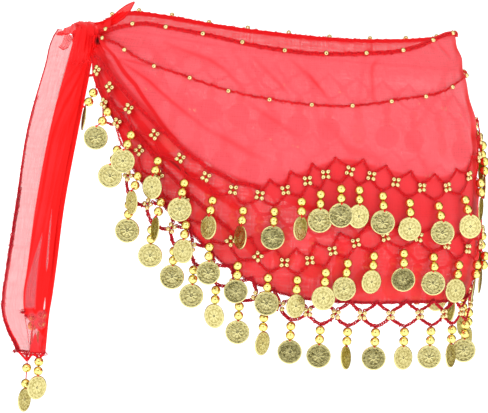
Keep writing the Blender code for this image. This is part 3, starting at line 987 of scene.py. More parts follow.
@dataclass
class NetRow:
    """One stretch of a net row: its chains, flowers and drops."""

    row: Row
    stretch: Stretch
    flowers: tuple | list
    turns: list
    trim: Trim
    lift_ends: tuple = (72.0, 86.0)
    tight_pitch: float = 21.5
    stagger: float = 2.4
    flower_lift: float = 1.3
    net: Builder = field(default_factory=Builder)
    gilt: Builder = field(default_factory=Builder)
    small: Builder = field(default_factory=Builder)
    coins: Builder = field(default_factory=Builder)

    @classmethod
    def front(cls, row: Row, trim: Trim) -> "NetRow":
        """The row's front stretch."""
        return cls(row, Stretch.FRONT, row.flowers, front_turns(row), trim)

    @classmethod
    def back(cls, row: Row, trim: Trim) -> "NetRow":
        """The row's back stretch.

        Args:
            row: the row.
            trim: makes its chains and drops.
        Returns:
            The stretch, its coins' turns taken in order from a short list.
        """
        angles = back_flowers(row)
        turns = [BACK_TURNS[i % len(BACK_TURNS)] for i in range(len(angles) - 1)]
        return cls(row, Stretch.BACK, angles, turns, trim)

    @property
    def name(self) -> str:
        """The name of the stretch's solid."""
        return f"{self.row.name}_{self.stretch.value}"

    @property
    def free(self) -> bool:
        """Whether it hangs below the hem, clear of the cloth."""
        return self.row.column == "hem"

    def across(self, angle: Number, sideways: Number, up: Number) -> tuple:
        """Finds a point beside the row.

        Args:
            angle: an angle on the row, in degrees.
            sideways: millimetres along the row.
            up: millimetres up across it.
        Returns:
            The point's angle and height.
        """
        height = self.row.height(angle)
        rate = arc_rate(angle, height)
        rise = (self.row.height(angle + 1) - self.row.height(angle - 1)) / (2 * rate)
        run = 1 / np.hypot(1, rise)
        climb = rise * run
        return angle + (sideways * run - up * climb) / rate, height + sideways * climb + up * run

    def lift(self, angle: Number) -> np.ndarray:
        """How far the net's inner face is from the cloth.

        Args:
            angle: angles round the figure, in degrees.
        Returns:
            Millimetres.
        """
        first, last = self.lift_ends
        by_start = 1 - ease(angle, first, last)
        by_end = ease(angle, 360 - last, 360 - first)
        return NET_GAP + self.row.lift * np.maximum(by_start, by_end)

    def strand(self, start: tuple, end: tuple, sag: float) -> None:
        """A chain between two places.

        Args:
            start: an angle, millimetres along the row and millimetres up across it.
            end: the same at its other end.
            sag: how far its middle hangs.
        """
        a0, h0 = self.across(*start)
        a1, h1 = self.across(*end)
        share = np.linspace(0, 1, 9)
        angle = a0 + (a1 - a0) * share
        height = h0 + (h1 - h0) * share - sag * 4 * share * (1 - share)
        path = ring_point(angle, height, self.lift(angle) + CHAIN_LIFT)
        # the hem's net is worked with doubled thread, the others in smaller stitches
        scale = 1.0 if self.free else 0.9
        self.trim.chain(self.net, path, ring_normal(angle, height), scale, self.free)

    def cell(self, before: float, after: float, turn: float | None, index: int) -> None:
        """The chains between two flowers, and the drop below them.

        Args:
            before: the first flower's angle.
            after: the second's.
            turn: the coin's turn from lying flat, or None for no drop.
            index: the cell's place in the stretch.
        """
        middle = (before + after) / 2
        half = FLOWER_HALF_WIDTH
        low = not self.free and middle < LOW_PEAK_ENDS
        peak_height = LOW_PEAK if low else PEAK_ABOVE_FLOWER
        peak = (middle, 0, peak_height + self.trim.random.normal(0, 0.5))
        apex = (middle, 0, -APEX_BELOW_FLOWER)
        if low:
            self.strand((before, 0, ROPE_RISE), (after, 0, ROPE_RISE), -0.4)
            self.strand((before, 0, ROPE_RISE - 1.4), (after, 0, ROPE_RISE - 1.4), -0.4)
            self.strand((before, 0, ROPE_RISE - 1), (before, 0.5, half - 0.6), 0)
        else:
            self.strand((before, 1.5, half - 0.6), peak, 1.0)
            self.strand(peak, (after, -1.5, half - 0.6), 1.0)
        self.strand((before, 1.4, -half + 1.2), apex, 0.9)
        self.strand((after, -1.4, -half + 1.2), apex, 0.9)
        if turn is not None:
            self.hang(middle, after - before, turn, index)

    def hang(self, middle: float, width: float, turn: float, index: int) -> None:
        """The drop of a cell.

        Args:
            middle: the cell's middle angle.
            width: its width in degrees.
            turn: the coin's turn from lying flat.
            index: the cell's place in the stretch.
        """
        pitch = width * arc_rate(middle, self.row.height(middle))
        stagger = self.stagger if index % 2 and pitch < self.tight_pitch else 0
        angle, level = self.across(middle, 0, -APEX_BELOW_FLOWER)
        standoff = next(s for s in self.row.standoffs if angle <= s.up_to_angle)
        reach = 0 if self.free else COIN_RADIUS * abs(math.sin(math.radians(turn)))
        bead_out = standoff.bead + stagger
        coin_out = max(standoff.coin + reach, bead_out if reach else 0) + stagger
        root_out = self.lift(angle) + CHAIN_LIFT

        def place(below: float, swing: float) -> np.ndarray:
            """The middle of the drop.

            Args:
                below: the depth below its root.
                swing: 0 as far out as the first bead, 1 as far out as the coin.
            Returns:
                The point.
            """
            out = bead_out + (coin_out - bead_out) * swing
            out = root_out + (out - root_out) * ease(below, 0, 3)
            return ring_point(angle, level - below, out, level if self.free else None)

        normal = ring_normal(angle, level)
        self.trim.drop(self.net, self.gilt, self.coins, place, normal, turn)

    def build(self, looks: "Looks") -> list[bpy.types.Object]:
        """Makes the stretch's pieces, in place of its solid.

        Args:
            looks: the materials.
        Returns:
            The net, the beads, the flowers and the coins.
        """
        for i, angle in enumerate(self.flowers):
            at, height = self.across(angle, 0, 0)
            out = ring_normal(at, height)
            centre = ring_point(at, height, self.lift(at) + self.flower_lift)
            # the flower next to the knot has no beads, only its thread
            bare = i == 0 and self.name == "row_1_front"
            rise = self.row.height(at + 1) - self.row.height(at - 1)
            slope = 0.8 * math.atan2(rise, 2 * arc_rate(at, height))
            self.trim.flower(Builder() if bare else self.small, self.net, centre, out, slope)
        for i, turn in enumerate(self.turns):
            self.cell(self.flowers[i], self.flowers[i + 1], turn, i)
        if self.free:
            angle = np.linspace(self.flowers[0], self.flowers[-1], 160)
            level = LEVEL["hem"](angle) + 0.4 + 0.3 * np.sin(angle * 1.9)
            path = ring_point(angle, level, NET_GAP + 0.4)
            self.trim.chain(self.net, path, ring_normal(angle, level), 0.8)
        thread = looks.deep_thread if self.free else looks.thread
        net = self.net.build(f"{self.name}_net", thread)
        gilt = self.gilt.build(f"{self.name}_beads", looks.bead)
        small = self.small.build(f"{self.name}_flowers", looks.small)
        coins = self.coins.build(f"{self.name}_coins", looks.coin)
        settle(net, Slot.CROCHET, self.name)
        for piece in (gilt, small, coins):
            settle(piece, Slot.GILT, self.name)
        return [net, gilt, small, coins]


def linear(colour: str) -> tuple:
    """Turns a colour to Blender's values.

    Args:
        colour: a hex colour as the screen shows it.
    Returns:
        Its linear red, green and blue, and an alpha of 1.
    """
    parts = [int(colour[i : i + 2], 16) / 255 for i in (0, 2, 4)]
    values = [c / 12.92 if c <= 0.04045 else ((c + 0.055) / 1.055) ** 2.4 for c in parts]
    return (*values, 1.0)


def add_node(
    tree: bpy.types.NodeTree,
    kind: str,
    settings: dict | None = None,
    inputs: dict | None = None,
) -> bpy.types.Node:
    """Adds a node.

    Args:
        tree: the node tree.
        kind: the node's type.
        settings: its properties by name.
        inputs: its sockets by name or index: a value, or a socket to link from.
    Returns:
        The node.
    """
    node = tree.nodes.new(kind)
    for name, value in (settings or {}).items():
        setattr(node, name, value)
    for name, value in (inputs or {}).items():
        if isinstance(value, bpy.types.NodeSocket):
            tree.links.new(value, node.inputs[name])
        else:
            node.inputs[name].default_value = value
    return node


def new_material(name: str) -> tuple[bpy.types.Material, bpy.types.NodeTree]:
    """Starts a material.

    Args:
        name: its name.
    Returns:
        The material and its empty node tree.
    """
    material = bpy.data.materials.new(name)
    material.use_nodes = True
    material.node_tree.nodes.clear()
    return material, material.node_tree


@dataclass(frozen=True)
class ChiffonFinish:
    """Polyester crepe chiffon, woven of fine twisted yarn and piece dyed red.

    One layer is sheer with a faint streaky weave and hardly any shine, and each further
    layer is denser and deeper. The layers also carry painted shade: deeper red along the
    creases, and the dark hollow colour past many layers, as shade in the knot's hollow.
    open_share is how much one layer lets through.
    """

    name: str
    colour: str
    deep: str
    open_share: float
    weave_turn: float
    weave_share: float
    # hollow is painted shade: the dark colour of the shaded hollow in the knot
    hollow: str = "4A0204"
    # Repeats in a metre. The yarns themselves, about 0.2 mm apart, are too fine to see here,
    # so each set of streaks is drawn about five times coarser: a streak is 1.1 mm wide and
    # 17 mm long, or 0.9 mm wide and 12 mm long. Uneven dye comes in clouds of about 36 mm.
    weft_scale: tuple = (60.0, 900.0, 1.0)
    warp_scale: tuple = (1100.0, 80.0, 1.0)
    cloud_scale: float = 28.0

    def make(self) -> bpy.types.Material:
        """Makes the material.

        Returns:
            Opacity from the layers, fine weave streaks and a soft sheen.
        """
        material, tree = new_material(self.name)
        output = add_node(tree, "ShaderNodeOutputMaterial")
        cut = add_node(tree, "ShaderNodeUVMap", {"uv_map": "Cut"}).outputs[0]
        weft = self.streaks(tree, cut, self.weft_scale)
        warp = self.streaks(tree, cut, self.warp_scale)
        clouds = add_node(
            tree,
            "ShaderNodeTexNoise",
            None,
            {"Vector": cut, "Scale": self.cloud_scale, "Detail": 3.0},
        ).outputs["Fac"]
        clouds = add_node(
            tree, "ShaderNodeMath", {"operation": "MULTIPLY"}, {0: clouds, 1: 0.6}
        ).outputs[0]
        layers = add_node(
            tree, "ShaderNodeAttribute", {"attribute_name": "layers"}
        ).outputs["Fac"]
        weave = add_node(
            tree, "ShaderNodeMath", {"operation": "ADD"}, {0: weft, 1: warp}
        ).outputs[0]
        weave = add_node(
            tree, "ShaderNodeMath", {"operation": "SUBTRACT"}, {0: weave, 1: 1.0}
        ).outputs[0]
        weave = add_node(
            tree,
            "ShaderNodeMath",
            {"operation": "MULTIPLY"},
            {0: weave, 1: 0.5 * self.weave_share},
        ).outputs[0]
        uneven = add_node(
            tree, "ShaderNodeMath", {"operation": "ADD"}, {0: weave, 1: 1.0}
        ).outputs[0]
        count = add_node(
            tree, "ShaderNodeMath", {"operation": "MULTIPLY"}, {0: layers, 1: uneven}
        ).outputs[0]
        count = add_node(
            tree, "ShaderNodeMath", {"operation": "MAXIMUM"}, {0: count, 1: 0.0}
        ).outputs[0]
        through = add_node(
            tree, "ShaderNodeMath", {"operation": "POWER"}, {0: self.open_share, 1: count}
        ).outputs[0]
        alpha = add_node(
            tree, "ShaderNodeMath", {"operation": "SUBTRACT"}, {0: 1.0, 1: through}
        ).outputs[0]
        clouded = add_node(
            tree, "ShaderNodeMath", {"operation": "ADD"}, {0: layers, 1: clouds}
        ).outputs[0]
        dense = add_node(
            tree,
            "ShaderNodeMapRange",
            None,
            {"Value": clouded, "From Min": 1.2, "From Max": 2.9},
        ).outputs[0]
        colour = add_node(
            tree,
            "ShaderNodeMix",
            {"data_type": "RGBA"},
            {0: dense, 6: linear(self.colour), 7: linear(self.deep)},
        ).outputs[2]
        # past the hollow's count of layers the colour darkens to the hollow colour: painted shade of
        # the knot's hollow
        hollow = add_node(
            tree,
            "ShaderNodeMapRange",
            None,
            {"Value": layers, "From Min": HOLLOW_SHADE_LAYERS, "From Max": 9.0},
        ).outputs[0]
        colour = add_node(
            tree,
            "ShaderNodeMix",
            {"data_type": "RGBA"},
            {0: hollow, 6: colour, 7: linear(self.hollow)},
        ).outputs[2]
        bump = add_node(
            tree,
            "ShaderNodeBump",
            None,
            {"Strength": 0.25, "Distance": 0.0003, "Height": weave},
        ).outputs[0]
        shader = add_node(
            tree,
            "ShaderNodeBsdfPrincipled",
            None,
            {
                "Base Color": colour,
                "Roughness": 0.6,
                "IOR": 1.5,
                "Specular IOR Level": 0.2,
                "Sheen Weight": 0.12,
                "Sheen Roughness": 0.4,
                "Sheen Tint": linear("FF9A96"),
                "Alpha": alpha,
                "Normal": bump,
            },
        )
        tree.links.new(shader.outputs[0], output.inputs[0])
        return material

    def streaks(
        self, tree: bpy.types.NodeTree, cut: bpy.types.NodeSocket, scale: tuple
    ) -> bpy.types.NodeSocket:
        """Noise drawn out along one direction of the weave.

        Args:
            tree: the material's node tree.
            cut: the place in the flat cloth.
            scale: repeats in a metre along and across the cloth.
        Returns:
            The noise's socket.
        """
        turned = add_node(
            tree,
            "ShaderNodeMapping",
            None,
            {"Vector": cut, "Rotation": (0, 0, self.weave_turn), "Scale": scale},
        ).outputs[0]
        noise = add_node(
            tree, "ShaderNodeTexNoise", None, {"Vector": turned, "Scale": 1.0, "Detail": 2.0}
        )
        return noise.outputs["Fac"]


@dataclass(frozen=True)
class ThreadFinish:
    """Cotton and polyester crochet thread, spun and dyed crimson.

    It is matt and a little uneven in its dye, with lint that lights up at the edges.
    """

    name: str
    colour: str
    deep: str
    # Repeats in a metre: the dye changes every 2.4 mm, about a stitch and a quarter, and the
    # twist of the plies every 0.4 mm.
    dye_scale: float = 420.0
    ply_scale: float = 2600.0

    def make(self) -> bpy.types.Material:
        """Makes the material.

        Returns:
            Uneven dye, a fine ply bump and a dull sheen.
        """
        material, tree = new_material(self.name)
        output = add_node(tree, "ShaderNodeOutputMaterial")
        place = add_node(tree, "ShaderNodeTexCoord").outputs["Object"]
        dye = add_node(
            tree,
            "ShaderNodeTexNoise",
            None,
            {"Vector": place, "Scale": self.dye_scale, "Detail": 4.0},
        ).outputs["Fac"]
        ply = add_node(
            tree,
            "ShaderNodeTexNoise",
            None,
            {"Vector": place, "Scale": self.ply_scale, "Detail": 2.0},
        ).outputs["Fac"]
        light = add_node(
            tree, "ShaderNodeMapRange", None, {"Value": dye, "From Min": 0.3, "From Max": 0.66}
        ).outputs[0]
        colour = add_node(
            tree,
            "ShaderNodeMix",
            {"data_type": "RGBA"},
            {0: light, 6: linear(self.deep), 7: linear(self.colour)},
        ).outputs[2]
        bump = add_node(
            tree,
            "ShaderNodeBump",
            None,
            {"Strength": 0.6, "Distance": 0.0002, "Height": ply},
        ).outputs[0]
        shader = add_node(
            tree,
            "ShaderNodeBsdfPrincipled",
            None,
            {
                "Base Color": colour,
                "Roughness": 0.8,
                "Specular IOR Level": 0.25,
                "Sheen Weight": 0.3,
                "Sheen Tint": linear("FF6A60"),
                "Normal": bump,
            },
        )
        tree.links.new(shader.outputs[0], output.inputs[0])
        return material


@dataclass(frozen=True)
class GiltFinish:
    """Thin gold-coloured plating, bright where smooth and duller in the hollows of a stamp."""

    name: str
    colour: str
    hollow: str
    roughness: float
    bump: float
    # Repeats in a metre: stains of about 3.8 mm and dents of about 1.4 mm.
    stain_scale: float = 260.0
    dent_scale: float = 700.0

    def make(self) -> bpy.types.Material:
        """Makes the material.

        Returns:
            Metal with worn highs, dull hollows and fine dents.
        """
        material, tree = new_material(self.name)
        output = add_node(tree, "ShaderNodeOutputMaterial")
        place = add_node(tree, "ShaderNodeTexCoord").outputs["Object"]
        worn = add_node(tree, "ShaderNodeAttribute", {"attribute_name": "worn"}).outputs["Fac"]
        stain = add_node(
            tree,
            "ShaderNodeTexNoise",
            None,
            {"Vector": place, "Scale": self.stain_scale, "Detail": 5.0},
        ).outputs["Fac"]
        dents = add_node(
            tree,
            "ShaderNodeTexNoise",
            None,
            {"Vector": place, "Scale": self.dent_scale, "Detail": 3.0},
        ).outputs["Fac"]
        stained = add_node(
            tree, "ShaderNodeMath", {"operation": "MULTIPLY"}, {0: stain, 1: 0.8}
        ).outputs[0]
        high = add_node(
            tree, "ShaderNodeMath", {"operation": "ADD"}, {0: worn, 1: stained}
        ).outputs[0]
        share = add_node(
            tree, "ShaderNodeMapRange", None, {"Value": high, "From Min": 0.2, "From Max": 0.8}
        ).outputs[0]
        colour = add_node(
            tree,
            "ShaderNodeMix",
            {"data_type": "RGBA"},
            {0: share, 6: linear(self.hollow), 7: linear(self.colour)},
        ).outputs[2]
        rough = add_node(
            tree,
            "ShaderNodeMapRange",
            None,
            {
                "Value": stain,
                "From Min": 0.3,
                "From Max": 0.7,
                "To Min": self.roughness,
                "To Max": self.roughness + 0.12,
            },
        ).outputs[0]
        bump = add_node(
            tree,
            "ShaderNodeBump",
            None,
            {"Strength": self.bump, "Distance": 0.0003, "Height": dents},
        ).outputs[0]
        shader = add_node(
            tree,
            "ShaderNodeBsdfPrincipled",
            None,
            {
                "Base Color": colour,
                "Metallic": 1.0,
                "Roughness": rough,
                "Specular Tint": linear("6E5424"),
                "Normal": bump,
            },
        )
        tree.links.new(shader.outputs[0], output.inputs[0])
        return material


class Looks:
    """The scarf's materials."""

    def __init__(self) -> None:
        """Makes each material once."""
        # the wrap's chiffon, most of it one layer, rosy where thin
        self.wrap = ChiffonFinish("chiffon_wrap", "E8545E", "E00C14", 0.2, 0.0, 2.4).make()
        # the tail's and the ear's, hung straight, so a little more open to the light
        self.tail = ChiffonFinish("chiffon_tail", "E0464E", "FA0808", 0.3, 0.6, 1.3).make()
        # the knot's, pulled tight, so denser and more even
        self.knot = ChiffonFinish("chiffon_knot", "F2141A", "EE060A", 0.16, 0.3, 0.7).make()
        # cotton and polyester crochet thread, dyed crimson
        self.thread = ThreadFinish("crochet_thread", "F00C1A", "C8081A").make()
        # the same thread in a deeper dye lot, as in the hem's net and the tail's edging
        self.deep_thread = ThreadFinish("deep_crochet_thread", "D20A24", "9C061C").make()
        # vacuum plated acrylic beads, mirror bright
        self.bead = GiltFinish("plated_beads", "FBEE9E", "F2DE7E", 0.1, 0.02).make()
        # small plated glass beads with a paler, creamier plating
        self.small = GiltFinish("small_plated_beads", "F6E6B4", "E8D290", 0.14, 0.02).make()
        # stamped and plated thin steel coins, satin with worn relief
        self.coin = GiltFinish("stamped_coins", "DED494", "9A8A46", 0.2, 0.7).make()


@dataclass
class Cloth:
    """A stretch of the wrap.

    Its sizes are in millimetres and degrees. flat and area are the flat cloth's, in metres.
    """

    stretch: Stretch
    start: float
    end: float
    columns: int
    rows: int
    area: float
    flat: tuple = (0.47, 0.235)
    pleat_depth: float = 1.8
    pleat_waves: int = 3
    pleat_reach: float = 46.0
    gather_reach: float = 17.0
    hem_width: float = 4.0
    # how strongly the creases deepen the colour: partly doubled cloth, partly painted crease shade
    crease_shade_and_doubling_gain: float = 2.5

    def creases(self, angle: np.ndarray, height: np.ndarray) -> tuple:
        """The troughs at points of the cloth.

        Args:
            angle: angles round the figure, in degrees.
            height: heights, in millimetres.
        Returns:
            The depths in millimetres, and the layers with the painted crease shade in them.
        """
        deepest = np.zeros(np.shape(angle))
        layers = np.ones(np.shape(angle))
        for crease in CREASES:
            distance, reached = path_distance(angle, height, crease.path)
            fade = np.clip(np.sin(np.pi * (0.12 + 0.76 * reached)), 0, 1)
            shape = np.exp(-((distance / crease.width) ** 2)) * fade
            deepest = np.maximum(deepest, crease.depth * shape)
            # along each crease's middle the cloth counts denser and deeper red: partly doubled
            # cloth, partly painted crease shade
            crease_middle_doubling_and_shade = np.exp(-((distance / (0.42 * crease.width)) ** 2)) * fade
            layers = layers + self.crease_shade_and_doubling_gain * crease.dense * crease_middle_doubling_and_shade
        return deepest, layers

    def added_layers(self, angle: np.ndarray, height: np.ndarray) -> np.ndarray:
        """The layers that hems and the cloth behind add.

        Args:
            angle: angles round the figure, in degrees.
            height: heights, in millimetres.
        Returns:
            The layers.
        """
        from_top = LEVEL["top"](angle) - height
        from_hem = height - LEVEL["hem"](angle)
        # the cloth is denser and deeper red from the first row down, and more so from the second
        under_row = LEVEL["row_1"](angle) + 9.5 + 2.0 * (angle < LOW_PEAK_ENDS) - height
        layers = (1.1 - 0.7 * ease(angle, 186, 200)) * ease(under_row, -1.5, 1.5)
        under_low = LEVEL["row_2"](angle) + 9 - height
        layers = layers + 0.25 * ease(under_low, -2, 2)
        layers = layers + 1.2 * (1 - ease(from_top, self.hem_width - 1, self.hem_width))
        layers = layers + 1.5 * (1 - ease(from_hem, 0.6, 1.4))
        layers = layers + 0.7 * ease(angle, 183, 190) * (1 - ease(from_top, 26, 40))
        return layers + 0.9 * (1 - ease(from_hem, 3, 9)) * (angle < 75)

    def drape(self, angle: np.ndarray, height: np.ndarray, down: np.ndarray) -> tuple:
        """How far the cloth lies in from the ring, and how many layers it counts as.

        Args:
            angle: angles round the figure, in degrees.
            height: heights, in millimetres.
            down: shares of the way from the top edge to the hem.
        Returns:
            The depths in millimetres and the layers.
        """
        depth, layers = self.creases(angle, height)
        by_start = 1 - ease(angle, CLOTH_START, CLOTH_START + self.pleat_reach)
        by_end = ease(angle, CLOTH_END - self.pleat_reach, CLOTH_END)
        gather = np.maximum(by_start, by_end)
        wave = 0.5 - 0.5 * np.cos(2 * math.pi * self.pleat_waves * down)
        fine = 0.5 - 0.5 * np.cos(2 * math.pi * 3.7 * self.pleat_waves * down + angle * 0.09)
        depth = depth + gather * (self.pleat_depth * wave + 0.7 * fine * wave)
        slow = np.sin(angle * 0.21 + height * 0.043) * np.sin(angle * 0.083 - height * 0.071)
        depth = depth + 0.35 * (1 + slow) * (1 - gather)
        near_start = 1 - ease(angle, CLOTH_START + 3, CLOTH_START + self.gather_reach)
        near_end = ease(angle, CLOTH_END - self.gather_reach, CLOTH_END - 3)
        near = np.maximum(near_start, near_end)
        layers = layers + near * (1.6 + 0.7 * (1 - wave)) + gather * 0.3 * fine
        at_side = ease(angle, 162, 171) * (1 - ease(angle, 189, 198))
        ripple = 0.5 + 0.5 * np.sin(height * 0.27 + 1.2 * np.sin(height * 0.07))
        layers = layers + (0.9 + 0.9 * ripple) * at_side**2
        depth = depth + 1.3 * ripple * at_side
        return depth, layers + self.added_layers(angle, height)

    def build(self, looks: Looks) -> list[bpy.types.Object]:
        """Makes the shell on its solid's form, with the creases in it.

        Args:
            looks: the materials.
        Returns:
            The shell.
        """
        across, down = np.meshgrid(
            np.linspace(0, 1, self.columns), np.linspace(0, 1, self.rows)
        )
        angle = self.start + (self.end - self.start) * across
        top = LEVEL["top"](angle)
        height = top + (LEVEL["hem"](angle) - top) * down
        depth, layers = self.drape(angle, height, down)
        points = ring_point(angle, height, -depth)
        rate = arc_rate(angle, np.full_like(angle, -60.0))
        along = np.cumsum(rate, axis=1) * (self.end - self.start) / self.columns
        cut = np.stack((along, height), -1).reshape(-1, 2)
        sheet = Builder()
        faces = grid_faces(self.columns, self.rows)
        sheet.add(points.reshape(-1, 3), faces, value=layers.ravel())
        node = f"cloth_{self.stretch.value}"
        obj = sheet.build(f"{node}_chiffon", looks.wrap, "layers", cut)
        settle(obj, Slot.CHIFFON, node)
        return [obj]


# The tail's places where it is made lighter: the wide first is a strip of fewer layers, the two
# narrow ones are painted highlight lines. Each gives how much is taken off, then rows from the
# lowest up, each a height, the place's middle there and half its width
TAIL_THIN_STRIP_AND_HIGHLIGHTS = (
    (
        0.62,
        (-243, -196, 4.6),
        (-229, -196.3, 4.3),
        (-205, -194.3, 2.5),
        (-184, -191, 0.9),
        (-177, -190, 0.1),
    ),
    (
        0.8,
        (-211, -184.3, 0.2),
        (-205, -184.3, 0.9),
        (-190, -184.2, 0.8),
        (-168, -183.8, 0.7),
        (-156, -183.4, 0.1),
    ),
    (0.95, (-246, -184.3, 0.1), (-243, -184.2, 0.7), (-236, -184, 0.6), (-232, -183.9, 0.1)),
)
# The middles of the beads behind the tail, across and up
TAIL_BEADS_BEHIND = ((-193.5, -251.1), (-193.5, -258.9), (-185.8, -248.0), (-185.8, -255.8))
# Frayed places on the tail: where the threads start, which way they lie, and how many
TAIL_FRAYS = (
    ((-200.9, -4.8, -245.4), (-2.6, -0.5, -0.4), 26),
    ((-198.6, -4.8, -248.6), (-1.2, -0.5, -1.4), 18),
    ((-206.0, 5.0, -280.0), (-2.0, -0.5, -2.4), 22),
    ((-181.5, -3.0, -279.5), (1.6, -0.5, -2.2), 20),
    ((-197.0, -4.0, -281.0), (0.4, -0.6, -2.6), 16),
)


def knot_underside(x: np.ndarray, y: np.ndarray) -> np.ndarray:
    """The height of the knot's smooth underside.

    Args:
        x: places across.
        y: places in depth.
    Returns:
        The heights, that of the knot's middle beyond its sides.
    """
    across = (x - KNOT_CENTRE[0]) / KNOT_HALF_SIZE[0]
    away = (y - KNOT_CENTRE[1]) / KNOT_HALF_SIZE[1]
    inside = np.maximum(1 - across**2 - away**2, 0.0)
    return KNOT_CENTRE[2] - KNOT_HALF_SIZE[2] * np.sqrt(inside)


@dataclass
class Tail:
    """The long end: three folded layers beside one sheer layer, with its edging."""

    columns: int = 180
    rows: int = 190
    flat: tuple = (0.1, 0.28)
    top: float = -5.0
    bottom: float = TAIL_BOTTOM
    layer_step: float = 4.4
    back: float = 5.0
    torn_top: float = -245.5
    bare_edge: float = -193.3
    edging_top: float = -140.0
    middle_top: float = -62.0

    def section(
        self, share: np.ndarray, left: np.ndarray, fold: np.ndarray, right: np.ndarray
    ) -> tuple:
        """Points along the folded section: a wide layer, then two turned back on it.

        Args:
            share: shares of the way along the section.
            left: where the wide layer starts.
            fold: where the layer in front of it turns back.
            right: where the wide layer turns.
        Returns:
            The places across, in depth, and the distances along the cloth.
        """
        turn = self.layer_step / 2
        back = (right - turn) - left
        middle = (right - turn) - (fold + turn)
        front = (right - self.layer_step) - (fold + turn)
        bend = math.pi * turn
        distance = share * (back + middle + front + 2 * bend)
        first = distance - back
        second = first - bend
        third = second - middle
        fourth = third - bend
        swing_one = np.clip(first, 0, bend) / turn
        swing_two = np.clip(third, 0, bend) / turn
        x = left + np.minimum(distance, back)
        x = x + turn * np.sin(swing_one) * (first > 0)
        x = x - np.clip(second, 0, middle) - turn * np.sin(swing_two) * (third > 0)
        x = x + np.maximum(fourth, 0)
        y = turn * (np.cos(swing_one) - 1) * (first > 0)
        y = y + turn * (np.cos(swing_two) - 1) * (third > 0)
        return x, y, distance

    def folded_layers(
        self, x: np.ndarray, z: np.ndarray, ridge: np.ndarray, folded: np.ndarray
    ) -> np.ndarray:
        """The layers above the torn edge: thick where folded, thinner in a strip and along two
        painted highlight lines.

        Args:
            x: places across.
            z: heights.
            ridge: how high the fine ridges are, 0 to 1.
            folded: 1 where the tail is folded.
        Returns:
            The layers.
        """
        share = (x - TAIL["fold"](z)) / (TAIL["right"](z) - TAIL["fold"](z))
        shift = 0.0019 * np.minimum(z + 100, 0)
        full = ease(share, 0.62 + shift, 0.72 + shift)
        layers = 1 + folded * (1.3 + 1.0 * full + 0.35 * ridge)
        # the two narrow places are painted highlight lines, the wide one a thinner strip of cloth
        thinning_and_highlight = np.zeros(np.shape(x))
        for strength, *rows in TAIL_THIN_STRIP_AND_HIGHLIGHTS:
            shape = profiles("height middle half", rows)
            half = shape["half"](z)
            inside = 1 - ease(np.abs(x - shape["middle"](z)), 0.8 * half, 1.3 * half)
            inside = inside * (z > rows[0][0]) * (z < rows[-1][0])
            thinning_and_highlight = np.maximum(thinning_and_highlight, strength * inside)
        layers = layers * (1 - thinning_and_highlight * folded)
        for place in TAIL_BEADS_BEHIND:
            reach = np.hypot(x - place[0], z - place[1]) / 4.6
            layers = layers * (1 - 0.86 * np.exp(-(reach**4)) * folded)
        return layers

    def layers(
        self, x: np.ndarray, z: np.ndarray, distance: np.ndarray, across: np.ndarray
    ) -> np.ndarray:
        """How many layers the tail counts as.

        Args:
            x: places across.
            z: heights.
            distance: distances along the cloth's section.
            across: the same as shares of it.
        Returns:
            The layers.
        """
        fold = TAIL["fold"](z)
        folded = ease(x, fold - 0.6, fold + 0.6)
        ridge = np.maximum(np.sin(distance * 0.9 - z * 0.03), 0)
        layers = self.folded_layers(x, z, ridge, folded)
        # below the torn edge the fold is bare on its left, thin in its middle, dense beyond
        cut_edge = np.minimum(self.torn_top - (x + 203.3), self.torn_top - 1)
        lost = folded * ease(cut_edge - z, -0.5, 0.5)
        beyond = ease(x, self.bare_edge - 0.5, self.bare_edge + 0.5)
        bare = lost * (1 - beyond)
        strip = -184.2 - 2.6 * ease(-z, 255, 265)
        thin = lost * beyond * (1 - ease(x, strip - 0.5, strip + 0.5))
        reach = np.maximum(-264 - z, 0) * 0.28
        gathered = (1 - ease(np.abs(x + 190.2) - reach, -0.4, 0.6)) * (z < -264)
        slit = np.exp(-(((x - strip + 0.9) / 0.5) ** 2)) * (z < -256) * (z > -272)
        layers = layers * (1 - lost) + bare * 0.33 + thin * (0.45 + 1.5 * gathered - 0.25 * slit)
        layers = layers + (lost - bare - thin) * (1.9 + 0.5 * ridge)
        rim_line = np.exp(-(((cut_edge - z) / 0.7) ** 2)) * folded * (x < -192.5)
        side_line = np.exp(-(((x - self.bare_edge) / 0.45) ** 2)) * (z < -252)
        fold_line = np.exp(-(((x - fold - 0.5) / 0.5) ** 2)) * (1 - lost)
        edge = 1 - ease(across, 0.004, 0.012)
        side = 1 - ease(np.abs(x - TAIL["right"](z)), 0.5, 1.6)
        rope = 3.4 * ease(-z, 236, 276) + 0.4
        by_rope = 1 - ease(x - TAIL["left"](z), rope - 0.4, rope + 0.4)
        edge = np.maximum(edge, by_rope * (z < -236) * (across < 0.3))
        return layers + 1.9 * edge + 1.0 * side + 0.5 * (rim_line + side_line + fold_line)

    def edging(self, trim: Trim, points: np.ndarray) -> Builder:
        """The crochet down the tail's left edge and along its end, and its frays.

        Args:
            trim: makes the chains.
            points: the tail's grid of points.
        Returns:
            The threads.
        """
        net = Builder()
        side = points[:, 0]
        low = side[:, 2] < self.edging_top
        out = np.array((0, -1.0, 0))
        trim.chain(net, side[low] + (0.7, -0.3, 0), out, 0.95)
        trim.chain(net, side[low] + (1.9, 0.3, 0), out, 0.8)
        middle = (side[:, 2] >= self.edging_top - 4) & (side[:, 2] < self.middle_top)
        trim.chain(net, side[middle] + (0.8, 0, 0), out, 0.75)
        trim.hem(net, side[~low], 0.45)
        bottom = points[-1, : self.columns // 3]
        trim.chain(net, bottom + (0, -0.4, 0.6), out, 0.8)
        for start, way, count in TAIL_FRAYS:
            trim.fray(net, np.array(start), np.array(way), count)
        return net

